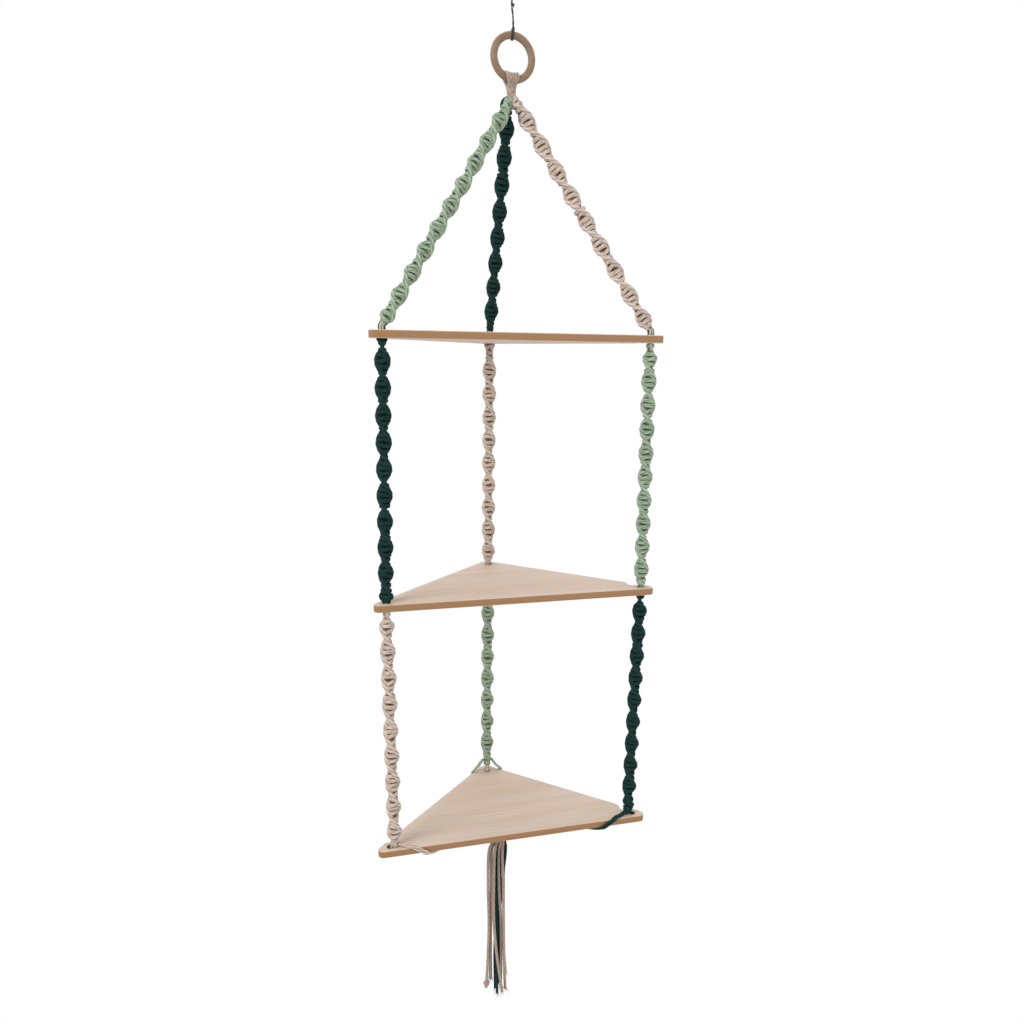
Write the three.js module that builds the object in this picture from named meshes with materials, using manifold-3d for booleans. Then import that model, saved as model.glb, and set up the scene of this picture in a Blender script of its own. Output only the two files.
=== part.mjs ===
// Hanging rope shelf: three wooden boards carried by three twisted rope columns from a wooden ring.
// Millimetres, +Z up. The origin is the centre of the ceiling plate's flat top.
// +X points right along the boards' front edges and +Y points to their back corner.

import * as THREE from 'three';
import { mergeVertices } from 'three/addons/utils/BufferGeometryUtils.js';
import Module from 'manifold-3d';

const wasm = await Module();
wasm.setup();

// Driving dimensions
const boardWidth = 400;
const boardDepth = 206;
const boardThickness = 10;
const boardSpacing = 337;
const topBoardDrop = 450;
const ringDiameter = 60;
const ringSection = 9;
const ringTurn = 8;
const cordDiameter = 3.2;
const hangerCordDiameter = 2;
const columnWidth = 20.4;
const columnThickness = 11;
const tasselEnd = 1416;

// Fits: the gap between pieces that touch, and the flat that a cord end faces
const gap = 0.3;
const cordRadius = cordDiameter / 2;

// Heights of the three boards' top faces
const topBoardTop = -topBoardDrop;
const middleBoardTop = topBoardTop - boardSpacing;
const bottomBoardTop = middleBoardTop - boardSpacing;

// Plan of a board: its front edge lies in front of the axis, its corner behind it
const apexShare = 0.33;
const frontEdge = -boardDepth * apexShare;
const backCorner = frontEdge + boardDepth;
const tipRadius = 7.5;
const backRadius = 12;
const edgeRound = 1.8;
const holeRadius = 5;
const frontHoleInset = 26.5;
const frontHoleSetback = 10;
const backHoleSetback = 24;
const notchDepth = 10;
const notchReach = 13;
const notchDistance = 41.6;
const arcSteps = 5;
const notchSteps = 8;

const holes = {
  left: new THREE.Vector2(-boardWidth / 2 + frontHoleInset, frontEdge + frontHoleSetback),
  back: new THREE.Vector2(0, backCorner - backHoleSetback),
  right: new THREE.Vector2(boardWidth / 2 - frontHoleInset, frontEdge + frontHoleSetback),
};

// Colours of the cords and the wood
const looks = {
  beige: { color: 0xcbbcae, roughness: 0.95, metalness: 0 },
  mint: { color: 0x93ad94, roughness: 0.95, metalness: 0 },
  forest: { color: 0x1d3a37, roughness: 0.95, metalness: 0 },
  dark: { color: 0x2b2b2b, roughness: 0.8, metalness: 0 },
  board: { color: 0xdcc4ab, roughness: 0.6, metalness: 0 },
  ring: { color: 0xb08d6b, roughness: 0.55, metalness: 0 },
  steel: { color: 0xb9bbbd, roughness: 0.35, metalness: 0.9 },
};

const group = new THREE.Group();

function place(name, geometry, look) {
  const mesh = new THREE.Mesh(geometry, new THREE.MeshStandardMaterial(looks[look]));
  mesh.name = name;
  group.add(mesh);
  return mesh;
}

// Solid from closed sections listed along the way, each turning left about the way it goes
function loft(sections) {
  const count = sections[0].length;
  const positions = sections.flat().flatMap((point) => [point.x, point.y, point.z]);
  const indices = [];
  for (let i = 0; i + 1 < sections.length; i += 1) {
    for (let j = 0; j < count; j += 1) {
      const a = i * count + j;
      const b = i * count + ((j + 1) % count);
      indices.push(a, b, b + count, a, b + count, a + count);
    }
  }
  const last = (sections.length - 1) * count;
  for (let j = 1; j + 1 < count; j += 1) {
    indices.push(0, j + 1, j, last, last + j, last + j + 1);
  }
  const geometry = new THREE.BufferGeometry();
  geometry.setAttribute('position', new THREE.Float32BufferAttribute(positions, 3));
  geometry.setIndex(indices);
  geometry.computeVertexNormals();
  return geometry;
}

// Oval section with blunt ends: half width along u, half thickness along v
const ovalAngles = [20, 62, 118, 160, 200, 242, 298, 340].map(THREE.MathUtils.degToRad);

function oval(centre, u, v, halfWidth, halfThickness) {
  const wide = halfWidth / Math.cos(ovalAngles[0]);
  const thick = halfThickness / Math.sin(ovalAngles[1]);
  return ovalAngles.map((angle) =>
    centre
      .clone()
      .addScaledVector(u, wide * Math.cos(angle))
      .addScaledVector(v, thick * Math.sin(angle)),
  );
}

function tube(points, radius, sides, steps) {
  const shape = new THREE.Shape();
  for (let i = 0; i < sides; i += 1) {
    const angle = (2 * Math.PI * (i + 0.5)) / sides;
    const x = radius * Math.cos(angle);
    const y = radius * Math.sin(angle);
    if (i === 0) shape.moveTo(x, y);
    else shape.lineTo(x, y);
  }
  shape.closePath();
  const path = new THREE.CatmullRomCurve3(points, false, 'centripetal');
  return new THREE.ExtrudeGeometry(shape, { steps, extrudePath: path, bevelEnabled: false, curveSegments: 1 });
}

const weldTolerance = 1e-4;

function solid(geometry) {
  const bare = new THREE.BufferGeometry();
  bare.setAttribute('position', geometry.getAttribute('position').clone());
  if (geometry.index) bare.setIndex(geometry.index.clone());
  const welded = mergeVertices(bare, weldTolerance);
  const mesh = new wasm.Mesh({
    numProp: 3,
    vertProperties: Float32Array.from(welded.getAttribute('position').array),
    triVerts: Uint32Array.from(welded.index.array),
    tolerance: weldTolerance,
  });
  mesh.merge();
  return new wasm.Manifold(mesh);
}

function union(geometries) {
  const whole = geometries.map(solid).reduce((sum, next) => sum.add(next));
  const mesh = whole.getMesh();
  const geometry = new THREE.BufferGeometry();
  const stride = mesh.numProp;
  const positions = [];
  for (let i = 0; i < mesh.vertProperties.length; i += stride) {
    positions.push(mesh.vertProperties[i], mesh.vertProperties[i + 1], mesh.vertProperties[i + 2]);
  }
  geometry.setAttribute('position', new THREE.Float32BufferAttribute(positions, 3));
  geometry.setIndex(Array.from(mesh.triVerts));
  geometry.computeVertexNormals();
  return geometry;
}

// Ball, squashed along Z
function ball(radius, halfHeight, centre, around, up) {
  const points = [];
  for (let i = 0; i <= up; i += 1) {
    const angle = -Math.PI / 2 + (Math.PI * i) / up;
    const x = i === 0 || i === up ? 0 : radius * Math.cos(angle);
    points.push(new THREE.Vector2(x, halfHeight * Math.sin(angle)));
  }
  const geometry = new THREE.LatheGeometry(points, around);
  geometry.rotateX(Math.PI / 2);
  geometry.translate(centre.x, centre.y, centre.z);
  return geometry;
}

// Solid of revolution about Z from [radius, height] pairs, first and last on the axis
function turned(profile, around, centre) {
  const geometry = new THREE.LatheGeometry(
    profile.map(([radius, height]) => new THREE.Vector2(radius, height)),
    around,
  );
  geometry.rotateX(Math.PI / 2);
  geometry.translate(centre.x, centre.y, centre.z);
  return geometry;
}

// Ceiling hook: screwed plate, shank and open hook, above the photographed part
const plateRadius = 20;
const plateThickness = 3;
const plateScrewOffset = 13;
const plateScrewRadius = 2.25;
const plateSides = 28;
const screwSides = 8;
const hookWire = 2.5;
const hookSides = 8;
const hookSteps = 26;
const hookSaddle = -42;
const hookRoute = [
  [0, -2],
  [0, -11],
  [5.5, -18.5],
  [9.6, -26],
  [9.8, -33],
  [6.6, -39.4],
  [0, hookSaddle],
  [-6.6, -39.4],
  [-9.8, -33],
  [-11, -27.5],
];

function ceilingHook() {
  const disc = new THREE.Shape();
  disc.absarc(0, 0, plateRadius, 0, 2 * Math.PI);
  for (const side of [-1, 1]) {
    const screw = new THREE.Path();
    screw.absarc(side * plateScrewOffset, 0, plateScrewRadius, 0, 2 * Math.PI);
    disc.holes.push(new THREE.Path(screw.getPoints(screwSides).slice(0, -1)));
  }
  const outline = new THREE.Shape(disc.getPoints(plateSides).slice(0, -1));
  outline.holes = disc.holes;
  const plate = new THREE.ExtrudeGeometry(outline, { depth: plateThickness, bevelEnabled: false });
  plate.translate(0, 0, -plateThickness);
  const points = hookRoute.map(([y, z]) => new THREE.Vector3(0, y, z));
  return union([plate, tube(points, hookWire, hookSides, hookSteps)]);
}

place('ceiling_hook', ceilingHook(), 'steel');

// Hanger cord: an eye round the hook, a knot and a doubled cord down to the loop round the ring
const hangerRadius = hangerCordDiameter / 2;
const hangerSides = 6;
const eyeSides = 18;
const eyeSlack = Math.cos(Math.PI / eyeSides);
const eyeRadius = (hookWire + gap) / eyeSlack + hangerRadius;
const hangerSplit = -70;
const hangerKnotDrop = 55.5;
const hangerKnotRadius = 2;
const hangerKnotHeight = 3.4;
const loopKnotDrop = 81.1;
const loopKnotRadius = 2.5;
const loopKnotHeight = 2.7;
const loopPitch = 1.15;
const knotAround = 8;
const knotUp = 6;

const ringRadius = (ringDiameter - ringSection) / 2;
const ringBar = ringSection / 2;
const ringCentre = -115;
const ringTop = ringCentre + ringRadius;
const ringBottom = ringCentre - ringRadius;
const ringAround = 36;
const ringBarSides = 10;
const ringYaw = THREE.MathUtils.degToRad(ringTurn);
const along = new THREE.Vector3(Math.cos(ringYaw), Math.sin(ringYaw), 0);
const across = new THREE.Vector3(-Math.sin(ringYaw), Math.cos(ringYaw), 0);

function straight(from, to, radius, sides) {
  return tube([from, to], radius, sides, 1);
}

function onAxis(height) {
  return new THREE.Vector3(0, 0, height);
}

function eye() {
  const geometry = new THREE.TorusGeometry(eyeRadius, hangerRadius, hangerSides, eyeSides);
  geometry.rotateX(Math.PI / 2);
  geometry.translate(0, 0, hookSaddle);
  return geometry;
}

place(
  'hanger_cord',
  union([
    eye(),
    straight(onAxis(hookSaddle - eyeRadius), onAxis(hangerSplit), hangerRadius, hangerSides),
    ball(hangerKnotRadius, hangerKnotHeight, onAxis(-hangerKnotDrop), knotAround, knotUp),
  ]),
  'dark',
);

function ringLoop(side) {
  const reach = (ringBar + gap) / eyeSlack + hangerRadius;
  const geometry = new THREE.TorusGeometry(reach, hangerRadius, hangerSides, eyeSides);
  geometry.rotateY(Math.PI / 2);
  geometry.rotateZ(ringYaw);
  const shift = along.clone().multiplyScalar(side * loopPitch);
  geometry.translate(shift.x, shift.y, ringTop);
  return geometry;
}

place(
  'hanger_loop',
  union([
    straight(onAxis(hangerSplit - gap), onAxis(-loopKnotDrop), hangerRadius, hangerSides),
    ball(loopKnotRadius, loopKnotHeight, onAxis(-loopKnotDrop), knotAround, knotUp),
    ringLoop(-1),
    ringLoop(1),
  ]),
  'dark',
);

// Wooden ring, upright and turned a little about the vertical
const ring = new THREE.TorusGeometry(ringRadius, ringBar, ringBarSides, ringAround);
ring.rotateX(Math.PI / 2);
ring.rotateZ(ringYaw);
ring.translate(0, 0, ringCentre);
place('ring', ring, 'ring');

// Cords folded over the ring: five strands, then a throat that parts into three branches
const foldCount = 5;
const foldSides = 6;
const foldSteps = 16;
const foldReach = ringBar + gap * 2 + cordRadius;
const foldLeave = THREE.MathUtils.degToRad(-42);
const foldArcs = 8;
const throatShare = 0.2;
const throatRadius = 3;
const throatDrop = 9.2;
const throatLength = 10.8;
const throatTop = ringBottom - throatDrop;
const throatBottom = throatTop - throatLength;
const throatSides = 10;
const branchLength = 14;
const branchRadius = 3.1;

function foldRoute(index) {
  const offset = (index - (foldCount - 1) / 2) * cordDiameter;
  const points = [];
  for (const side of [1, -1]) {
    const leg = [];
    for (let i = 0; i <= foldArcs; i += 1) {
      const angle = Math.PI / 2 + ((foldLeave - Math.PI / 2) * i) / foldArcs;
      const narrow = 1 - (1 - throatShare) * (i / (foldArcs + 2)) ** 2;
      const shift = offset * narrow;
      const barRise = ringRadius - Math.sqrt(ringRadius ** 2 - shift ** 2);
      leg.push([side * foldReach * Math.cos(angle), shift, ringBottom + barRise + foldReach * Math.sin(angle)]);
    }
    leg.push([side * throatRadius * throatShare, offset * throatShare, throatTop - gap]);
    leg.push([side * throatRadius * throatShare, offset * throatShare, throatTop - cordDiameter]);
    if (side === 1) points.push(...leg.reverse());
    else points.push(...leg.slice(1));
  }
  return points.map(([out, shift, height]) =>
    new THREE.Vector3(0, 0, height).addScaledVector(across, out).addScaledVector(along, shift),
  );
}

// Top board's holes: the columns lean to a point just above them, then turn down
const leanRise = 5;
const leanLead = 4;
const branchRoot = onAxis(throatBottom);
const leanEnds = Object.fromEntries(
  Object.entries(holes).map(([side, hole]) => [side, new THREE.Vector3(hole.x, hole.y, topBoardTop + leanRise)]),
);

function leanWay(side) {
  return leanEnds[side].clone().sub(branchRoot).normalize();
}

function branch(side) {
  const end = branchRoot.clone().addScaledVector(leanWay(side), branchLength);
  const start = branchRoot.clone().addScaledVector(leanWay(side), -throatRadius / 2);
  return straight(start, end, branchRadius, throatSides);
}

place(
  'ring_strands',
  union([
    ...Array.from({ length: foldCount }, (_, index) => tube(foldRoute(index), cordRadius, foldSides, foldSteps)),
    straight(onAxis(throatTop + cordRadius), onAxis(throatBottom - throatRadius), throatRadius, throatSides),
    ...Object.keys(holes).map(branch),
  ]),
  'beige',
);

// Windings: one unbroken cord round a throat, with a straight run at each end
const windingSteps = 24;
const windingSides = 6;
const windingRadius = 1.5;
const windingPitch = 3.5;

function winding(centre, coreRadius, turns, pitch) {
  const reach = coreRadius + gap + windingRadius;
  const steps = Math.round(turns * windingSteps);
  const centres = [];
  for (let i = 0; i <= steps; i += 1) {
    const angle = (2 * Math.PI * i) / windingSteps;
    const height = centre.z + (pitch * turns) / 2 - (pitch * i) / windingSteps;
    centres.push(new THREE.Vector3(centre.x + reach * Math.cos(angle), centre.y + reach * Math.sin(angle), height));
  }
  const lead = centres[0].clone().sub(centres[1]).normalize().multiplyScalar(2 * windingRadius);
  const trail = centres[steps].clone().sub(centres[steps - 1]).normalize().multiplyScalar(2 * windingRadius);
  const route = [centres[0].clone().add(lead), ...centres, centres[steps].clone().add(trail)];
  const sections = route.map((point, i) => {
    const ahead = route[Math.min(i + 1, route.length - 1)];
    const behind = route[Math.max(i - 1, 0)];
    const way = ahead.clone().sub(behind).normalize();
    const side = way.clone().cross(new THREE.Vector3(0, 0, 1)).normalize();
    const rise = way.clone().cross(side).negate();
    return Array.from({ length: windingSides }, (_, j) => {
      const angle = (2 * Math.PI * j) / windingSides;
      return point
        .clone()
        .addScaledVector(side, windingRadius * Math.cos(angle))
        .addScaledVector(rise, -windingRadius * Math.sin(angle));
    });
  });
  let least = Infinity;
  for (let i = 0; i < route.length; i += 1) {
    for (let j = i + windingSteps / 2; j < route.length; j += 1) {
      least = Math.min(least, route[i].distanceTo(route[j]) - 2 * windingRadius);
    }
  }
  return { geometry: loft(sections), least };
}

const wrapTurns = 2.25;
const wrap = winding(onAxis((throatTop + throatBottom) / 2 - gap), throatRadius, wrapTurns, windingPitch);
place('gathering_wrap', wrap.geometry, 'beige');
console.log('least gap between turns, gathering wrap:', wrap.least.toFixed(2));

// Boards
function legPoint(side, distance, depth) {
  const tip = new THREE.Vector2((side * boardWidth) / 2, frontEdge);
  const way = new THREE.Vector2(0, backCorner).sub(tip).normalize();
  const inward = new THREE.Vector2(-side * way.y, side * way.x);
  if (inward.y > 0) inward.negate();
  return tip.addScaledVector(way, distance).addScaledVector(inward, depth);
}

// Rounds the corner at b between a and c
function corner(a, b, c, radius) {
  const toA = a.clone().sub(b).normalize();
  const toC = c.clone().sub(b).normalize();
  const half = Math.acos(toA.dot(toC)) / 2;
  const reach = radius / Math.tan(half);
  const centre = b.clone().addScaledVector(toA.clone().add(toC).normalize(), radius / Math.sin(half));
  const start = b.clone().addScaledVector(toA, reach).sub(centre);
  const sweep = Math.PI - 2 * half;
  return Array.from({ length: arcSteps + 1 }, (_, i) =>
    start.clone().rotateAround(new THREE.Vector2(), (sweep * i) / arcSteps).add(centre),
  );
}

function boardOutline() {
  const left = new THREE.Vector2(-boardWidth / 2, frontEdge);
  const right = new THREE.Vector2(boardWidth / 2, frontEdge);
  const back = new THREE.Vector2(0, backCorner);
  const notch = (side) =>
    Array.from({ length: notchSteps + 1 }, (_, i) => {
      const shift = notchReach * ((2 * i) / notchSteps - 1);
      const depth = notchDepth * Math.cos((Math.PI * shift) / (2 * notchReach)) ** 2;
      return legPoint(side, notchDistance + shift, depth);
    });
  return [
    ...corner(left, right, back, tipRadius),
    ...notch(1),
    ...corner(right, back, left, backRadius),
    ...notch(-1).reverse(),
    ...corner(back, left, right, tipRadius),
  ];
}

const holeSides = 12;
const bevelSteps = 2;

function board(topHeight) {
  const outline = new THREE.Shape(boardOutline());
  for (const hole of Object.values(holes)) {
    const points = Array.from({ length: holeSides }, (_, i) => {
      const angle = (-2 * Math.PI * i) / holeSides;
      return new THREE.Vector2(hole.x + holeRadius * Math.cos(angle), hole.y + holeRadius * Math.sin(angle));
    });
    outline.holes.push(new THREE.Path(points));
  }
  const geometry = new THREE.ExtrudeGeometry(outline, {
    depth: boardThickness - 2 * edgeRound,
    bevelEnabled: true,
    bevelThickness: edgeRound,
    bevelSize: edgeRound,
    bevelOffset: -edgeRound,
    bevelSegments: bevelSteps,
  });
  geometry.translate(0, 0, topHeight - boardThickness + edgeRound);
  return union([geometry]);
}

const boardTops = { top: topBoardTop, middle: middleBoardTop, bottom: bottomBoardTop };
for (const [level, height] of Object.entries(boardTops)) place(`board_${level}`, board(height), 'board');

// Cord bundles in the holes
const bundleRadius = holeRadius - gap;
const bundleSides = 12;
const stopperRadius = 8.4;
const stopperHeight = 5.2;
const stopperRound = 1.6;

function circle(centre, way, radius, sides) {
  const u = new THREE.Vector3(1, 0, 0).addScaledVector(way, -way.x).normalize();
  const v = way.clone().cross(u);
  return Array.from({ length: sides }, (_, j) => {
    const angle = (2 * Math.PI * j) / sides;
    return centre
      .clone()
      .addScaledVector(u, radius * Math.cos(angle))
      .addScaledVector(v, radius * Math.sin(angle));
  });
}

const down = new THREE.Vector3(0, 0, -1);

function leaningBundle(side) {
  const way = leanWay(side);
  const bend = way.clone().add(down).normalize();
  const end = leanEnds[side];
  const hole = holes[side];
  return loft([
    circle(end.clone().addScaledVector(way, gap - leanLead), way, bundleRadius, bundleSides),
    circle(end, bend, bundleRadius, bundleSides),
    circle(new THREE.Vector3(hole.x, hole.y, topBoardTop), down, bundleRadius, bundleSides),
    circle(new THREE.Vector3(hole.x, hole.y, topBoardTop - boardThickness), down, bundleRadius, bundleSides),
  ]);
}

function straightBundle(side, top) {
  const hole = holes[side];
  const profile = [
    [0, -boardThickness],
    [bundleRadius, -boardThickness],
    [bundleRadius, 0],
    [0, 0],
  ];
  return turned(profile, bundleSides, new THREE.Vector3(hole.x, hole.y, top));
}

function stoppedBundle(side, top) {
  const hole = holes[side];
  const under = -boardThickness - gap;
  const profile = [
    [0, under - stopperHeight],
    [stopperRadius - stopperRound, under - stopperHeight],
    [stopperRadius, under - stopperHeight + stopperRound],
    [stopperRadius, under - stopperRound],
    [stopperRadius - stopperRound, under],
    [bundleRadius, under],
    [bundleRadius, 0],
    [0, 0],
  ];
  return turned(profile, bundleSides, new THREE.Vector3(hole.x, hole.y, top));
}

// Sections by level and column: colour, half turn, and first full width below the column's start
const columns = {
  top: {
    left: { look: 'mint', halfTurn: 32.4, first: 18.8 },
    back: { look: 'forest', halfTurn: 33.8, first: 22.9 },
    right: { look: 'beige', halfTurn: 35.9, first: 21.7 },
  },
  middle: {
    left: { look: 'forest', halfTurn: 32.7, first: 14.3 },
    back: { look: 'beige', halfTurn: 33.6, first: 27.7 },
    right: { look: 'mint', halfTurn: 31.7, first: 8.2 },
  },
  bottom: {
    left: { look: 'beige', halfTurn: 35.9, first: 6.5 },
    back: { look: 'mint', halfTurn: 35.2, first: 20.6 },
    right: { look: 'forest', halfTurn: 32.5, first: 15.1 },
  },
};
const bundleLooks = { left: 'forest', back: 'beige', right: 'mint' };

for (const side of Object.keys(holes)) {
  place(`cords_top_${side}`, leaningBundle(side), bundleLooks[side]);
  place(`cords_middle_${side}`, straightBundle(side, middleBoardTop), columns.bottom[side].look);
  place(`cords_bottom_${side}`, stoppedBundle(side, bottomBoardTop), columns.bottom[side].look);
}

// Twisted columns: an oval that turns half round in each half turn, narrow at both ends
const faceTurn = THREE.MathUtils.degToRad(-15.2);
const sectionsPerHalfTurn = 4;

function easeIn(distance, reach) {
  const share = Math.min(Math.max(distance / reach, 0), 1);
  return share * share * (3 - 2 * share);
}

function column(start, end, { halfTurn, first }, neckTop, neckBottom) {
  const length = start.distanceTo(end);
  const way = end.clone().sub(start).normalize();
  const u = new THREE.Vector3(1, 0, 0).addScaledVector(way, -way.x).normalize();
  const v = way.clone().cross(u);
  const count = Math.round((length / halfTurn) * sectionsPerHalfTurn);
  const sections = [];
  for (let i = 0; i <= count; i += 1) {
    const distance = (length * i) / count;
    const turn = -(faceTurn + (Math.PI * (distance - first)) / halfTurn);
    const wide = u.clone().multiplyScalar(Math.cos(turn)).addScaledVector(v, Math.sin(turn));
    const thick = way.clone().cross(wide);
    const fill =
      easeIn(distance, neckTop.reach) * easeIn(length - distance - neckBottom.plain, neckBottom.reach);
    const neck = distance < length / 2 ? neckTop.radius : neckBottom.radius;
    const halfWidth = neck + (columnWidth / 2 - neck) * fill;
    const halfThickness = neck + (columnThickness / 2 - neck) * fill;
    sections.push(oval(start.clone().addScaledVector(way, distance), wide, thick, halfWidth, halfThickness));
  }
  return loft(sections);
}

const topNeck = { radius: branchRadius, reach: 16 };
const leanFoot = { radius: 4.6, reach: 10, plain: 0 };
for (const side of Object.keys(holes)) {
  const way = leanWay(side);
  const start = branchRoot.clone().addScaledVector(way, branchLength + gap);
  const end = leanEnds[side].clone().addScaledVector(way, -leanLead);
  place(`column_top_${side}`, column(start, end, columns.top[side], topNeck, leanFoot), columns.top[side].look);
}

// Neck knots carry the boards from below; feet enter the holes from above
const neckRadius = 7.2;
const neckHalf = 5;
const footRadius = 4.6;
const footHalf = 5.7;
const knotSides = 10;
const knotRows = 6;
const hungNeck = { radius: footRadius, reach: 9 };
const hungFoot = { radius: footRadius, reach: 9, plain: 0 };
const backFoot = { radius: footRadius, reach: 9, plain: 9 };
const under = { middle: topBoardTop - boardThickness, bottom: middleBoardTop - boardThickness };

// The straps pull the bottom level's front feet inward, so their columns lean and stay clear as they swing
const footPull = 6;
const swingRoom = 0.9;
const pulls = { left: footPull, back: 0, right: -footPull };
const footHoles = {
  middle: holes,
  bottom: Object.fromEntries(
    Object.entries(holes).map(([side, hole]) => [side, new THREE.Vector2(hole.x + pulls[side], hole.y)]),
  ),
};
for (const level of ['middle', 'bottom']) {
  for (const side of Object.keys(holes)) {
    const hole = holes[side];
    const { look } = columns[level][side];
    const neck = new THREE.Vector3(hole.x, hole.y, under[level] - gap - neckHalf);
    const footHole = footHoles[level][side];
    const foot = new THREE.Vector3(footHole.x, footHole.y, boardTops[level] + gap + footHalf);
    const room = footHole.x === hole.x ? gap : gap + swingRoom;
    const start = neck.clone().addScaledVector(down, neckHalf + gap);
    const end = foot.clone().addScaledVector(down, -footHalf - room);
    const tail = level === 'bottom' && side === 'back' ? backFoot : hungFoot;
    place(`neck_${level}_${side}`, ball(neckRadius, neckHalf, neck, knotSides, knotRows), look);
    place(`column_${level}_${side}`, column(start, end, columns[level][side], hungNeck, tail), look);
    place(`foot_${level}_${side}`, ball(footRadius, footHalf, foot, knotSides, knotRows), look);
  }
}

// Straps over the bottom board's edges, right side. A lead's points are [x, y, height] from the foot, each
// with the way its broad face looks. The edge is crossed from over to under: [distance, depth] from a tip
// along the front edge or the leg, or from the back corner along the leg.
const strapWidth = 6.2;
const gatherX = -10;
const legLength = Math.hypot(boardWidth / 2, boardDepth);
const legOut = new THREE.Vector2(boardDepth, boardWidth / 2).normalize();
const notchFlank = THREE.MathUtils.degToRad(45.85);
const strapRoutes = {
  front: {
    foot: footHoles.bottom.right,
    lead: [
      [[-9.5, -3.4, 3.4], [0, 0, 1]],
      [[-14, -5.2, 2.6], [0, 0, 1]],
    ],
    over: [53.5, 0],
    under: [81, 0],
    edgePoint: ([distance]) => new THREE.Vector2(boardWidth / 2 - distance, frontEdge),
    outward: new THREE.Vector2(0, -1),
  },
  side: {
    foot: footHoles.bottom.right,
    lead: [
      [[-0.2, 7.2, 3.2], [0, 0.2, 1]],
    ],
    over: [37, 7.4],
    under: [38.2, 8.4],
    edgePoint: ([distance, depth]) => legPoint(1, distance, depth),
    outward: legOut.clone().rotateAround(new THREE.Vector2(), notchFlank),
  },
  back: {
    foot: footHoles.bottom.back,
    lead: [
      [[8.6, 0, 17.6], [0.77, 0, 0.64]],
      [[14.6, 0.6, 9.8], [0.77, 0, 0.64]],
    ],
    over: [31.3, 0],
    under: [29.2, 0],
    edgePoint: ([distance, depth]) => legPoint(1, legLength - distance, depth),
    outward: legOut,
  },
};

// Stations of a strap round an edge: share of the crossing, distance out of the edge and height
const strapLift = cordRadius + gap;
const wrapLift = strapLift + 1.6 * gap;
const wrapReach = (edgeRound + wrapLift) * Math.SQRT1_2;
const edgeStations = [
  { share: 0, out: -edgeRound, height: wrapLift, face: [0.25, 1] },
  { share: 0.16, out: wrapReach - edgeRound, height: wrapReach - edgeRound, face: [1, 1] },
  { share: 0.32, out: wrapLift, height: -edgeRound, face: [1, 0] },
  { share: 0.68, out: wrapLift, height: edgeRound - boardThickness, face: [1, 0] },
  { share: 0.84, out: wrapReach - edgeRound, height: edgeRound - boardThickness - wrapReach - gap, face: [1, -1] },
  { share: 1, out: -edgeRound * 1.5, height: -boardThickness - wrapLift, face: [0, -1] },
];

// The lower strap of each pair dips under the upper one before they meet at the gather
const gatherRadius = 7.2;
const strapLayer = cordDiameter + gap;
const dipStart = 58;
const dipEnd = 40;

function strapRoute(kind, side, low) {
  const { foot, lead, over, under: beneath, edgePoint, outward } = strapRoutes[kind];
  const points = lead.map(([[x, y, z], [nx, ny, nz]]) => ({
    point: new THREE.Vector3(side * (foot.x + x), foot.y + y, bottomBoardTop + z),
    out: new THREE.Vector3(side * nx, ny, nz).normalize(),
  }));
  const first = edgePoint(over);
  const second = edgePoint(beneath);
  const stations = kind === 'back' ? edgeStations.slice(1) : edgeStations;
  for (const { share, out, height, face } of stations) {
    const plan = first.clone().lerp(second, share).addScaledVector(outward, out);
    points.push({
      point: new THREE.Vector3(side * plan.x, plan.y, bottomBoardTop + height),
      out: new THREE.Vector3(side * outward.x * face[0], outward.y * face[0], face[1]).normalize(),
    });
  }
  const last = points[points.length - 1].point;
  const centre = new THREE.Vector3(gatherX, 0, bottomBoardTop - boardThickness - strapLift);
  const fromGather = last.clone().sub(centre).setZ(0).normalize();
  const underFace = new THREE.Vector3(0, 0, -1);
  const dip = low ? strapLayer : 0;
  const stops = [
    [dipStart, 0],
    [dipEnd, dip],
    [gatherRadius + gap + strapWidth / 8, dip],
  ];
  for (const [reach, drop] of stops) {
    const point = centre.clone().addScaledVector(fromGather, reach);
    point.z -= drop;
    points.push({ point, out: underFace.clone() });
  }
  return points;
}

function strap(kind, side, low) {
  const route = strapRoute(kind, side, low);
  const sections = route.map(({ point, out }, i) => {
    const ahead = route[Math.min(i + 1, route.length - 1)].point;
    const behind = route[Math.max(i - 1, 0)].point;
    const way = ahead.clone().sub(behind).normalize();
    const wide = out.clone().cross(way).normalize();
    const thick = way.clone().cross(wide);
    return oval(point, wide, thick, strapWidth / 2, cordRadius);
  });
  return loft(sections);
}

const { left: leftColumn, back: backColumn, right: rightColumn } = columns.bottom;
place('strap_front_left', strap('front', -1, false), leftColumn.look);
place('strap_side_left', strap('side', -1, true), leftColumn.look);
place('strap_front_right', strap('front', 1, false), rightColumn.look);
place('strap_side_right', strap('side', 1, true), rightColumn.look);
place('strap_back_left', strap('back', -1, true), backColumn.look);
place('strap_back_right', strap('back', 1, false), backColumn.look);

// Gather under the bottom board: a knot whose lower end is the ball that the tassel swings on
const gatherTop = -boardThickness - gap;
const gatherBottom = -18.6;
const gatherRound = 1.2;
const tasselPivot = -22;
const pivotRadius = 4.4;
const gatherSides = 14;
const gatherPoint = new THREE.Vector3(gatherX, 0, bottomBoardTop);
const ballRows = [-90, -60, -30, 0, 30].map(THREE.MathUtils.degToRad);

// Profile of a ball from its lowest point up
function ballProfile(rows, radius, centre) {
  return rows.map((angle, i) => [i === 0 ? 0 : radius * Math.cos(angle), centre + radius * Math.sin(angle)]);
}

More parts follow.
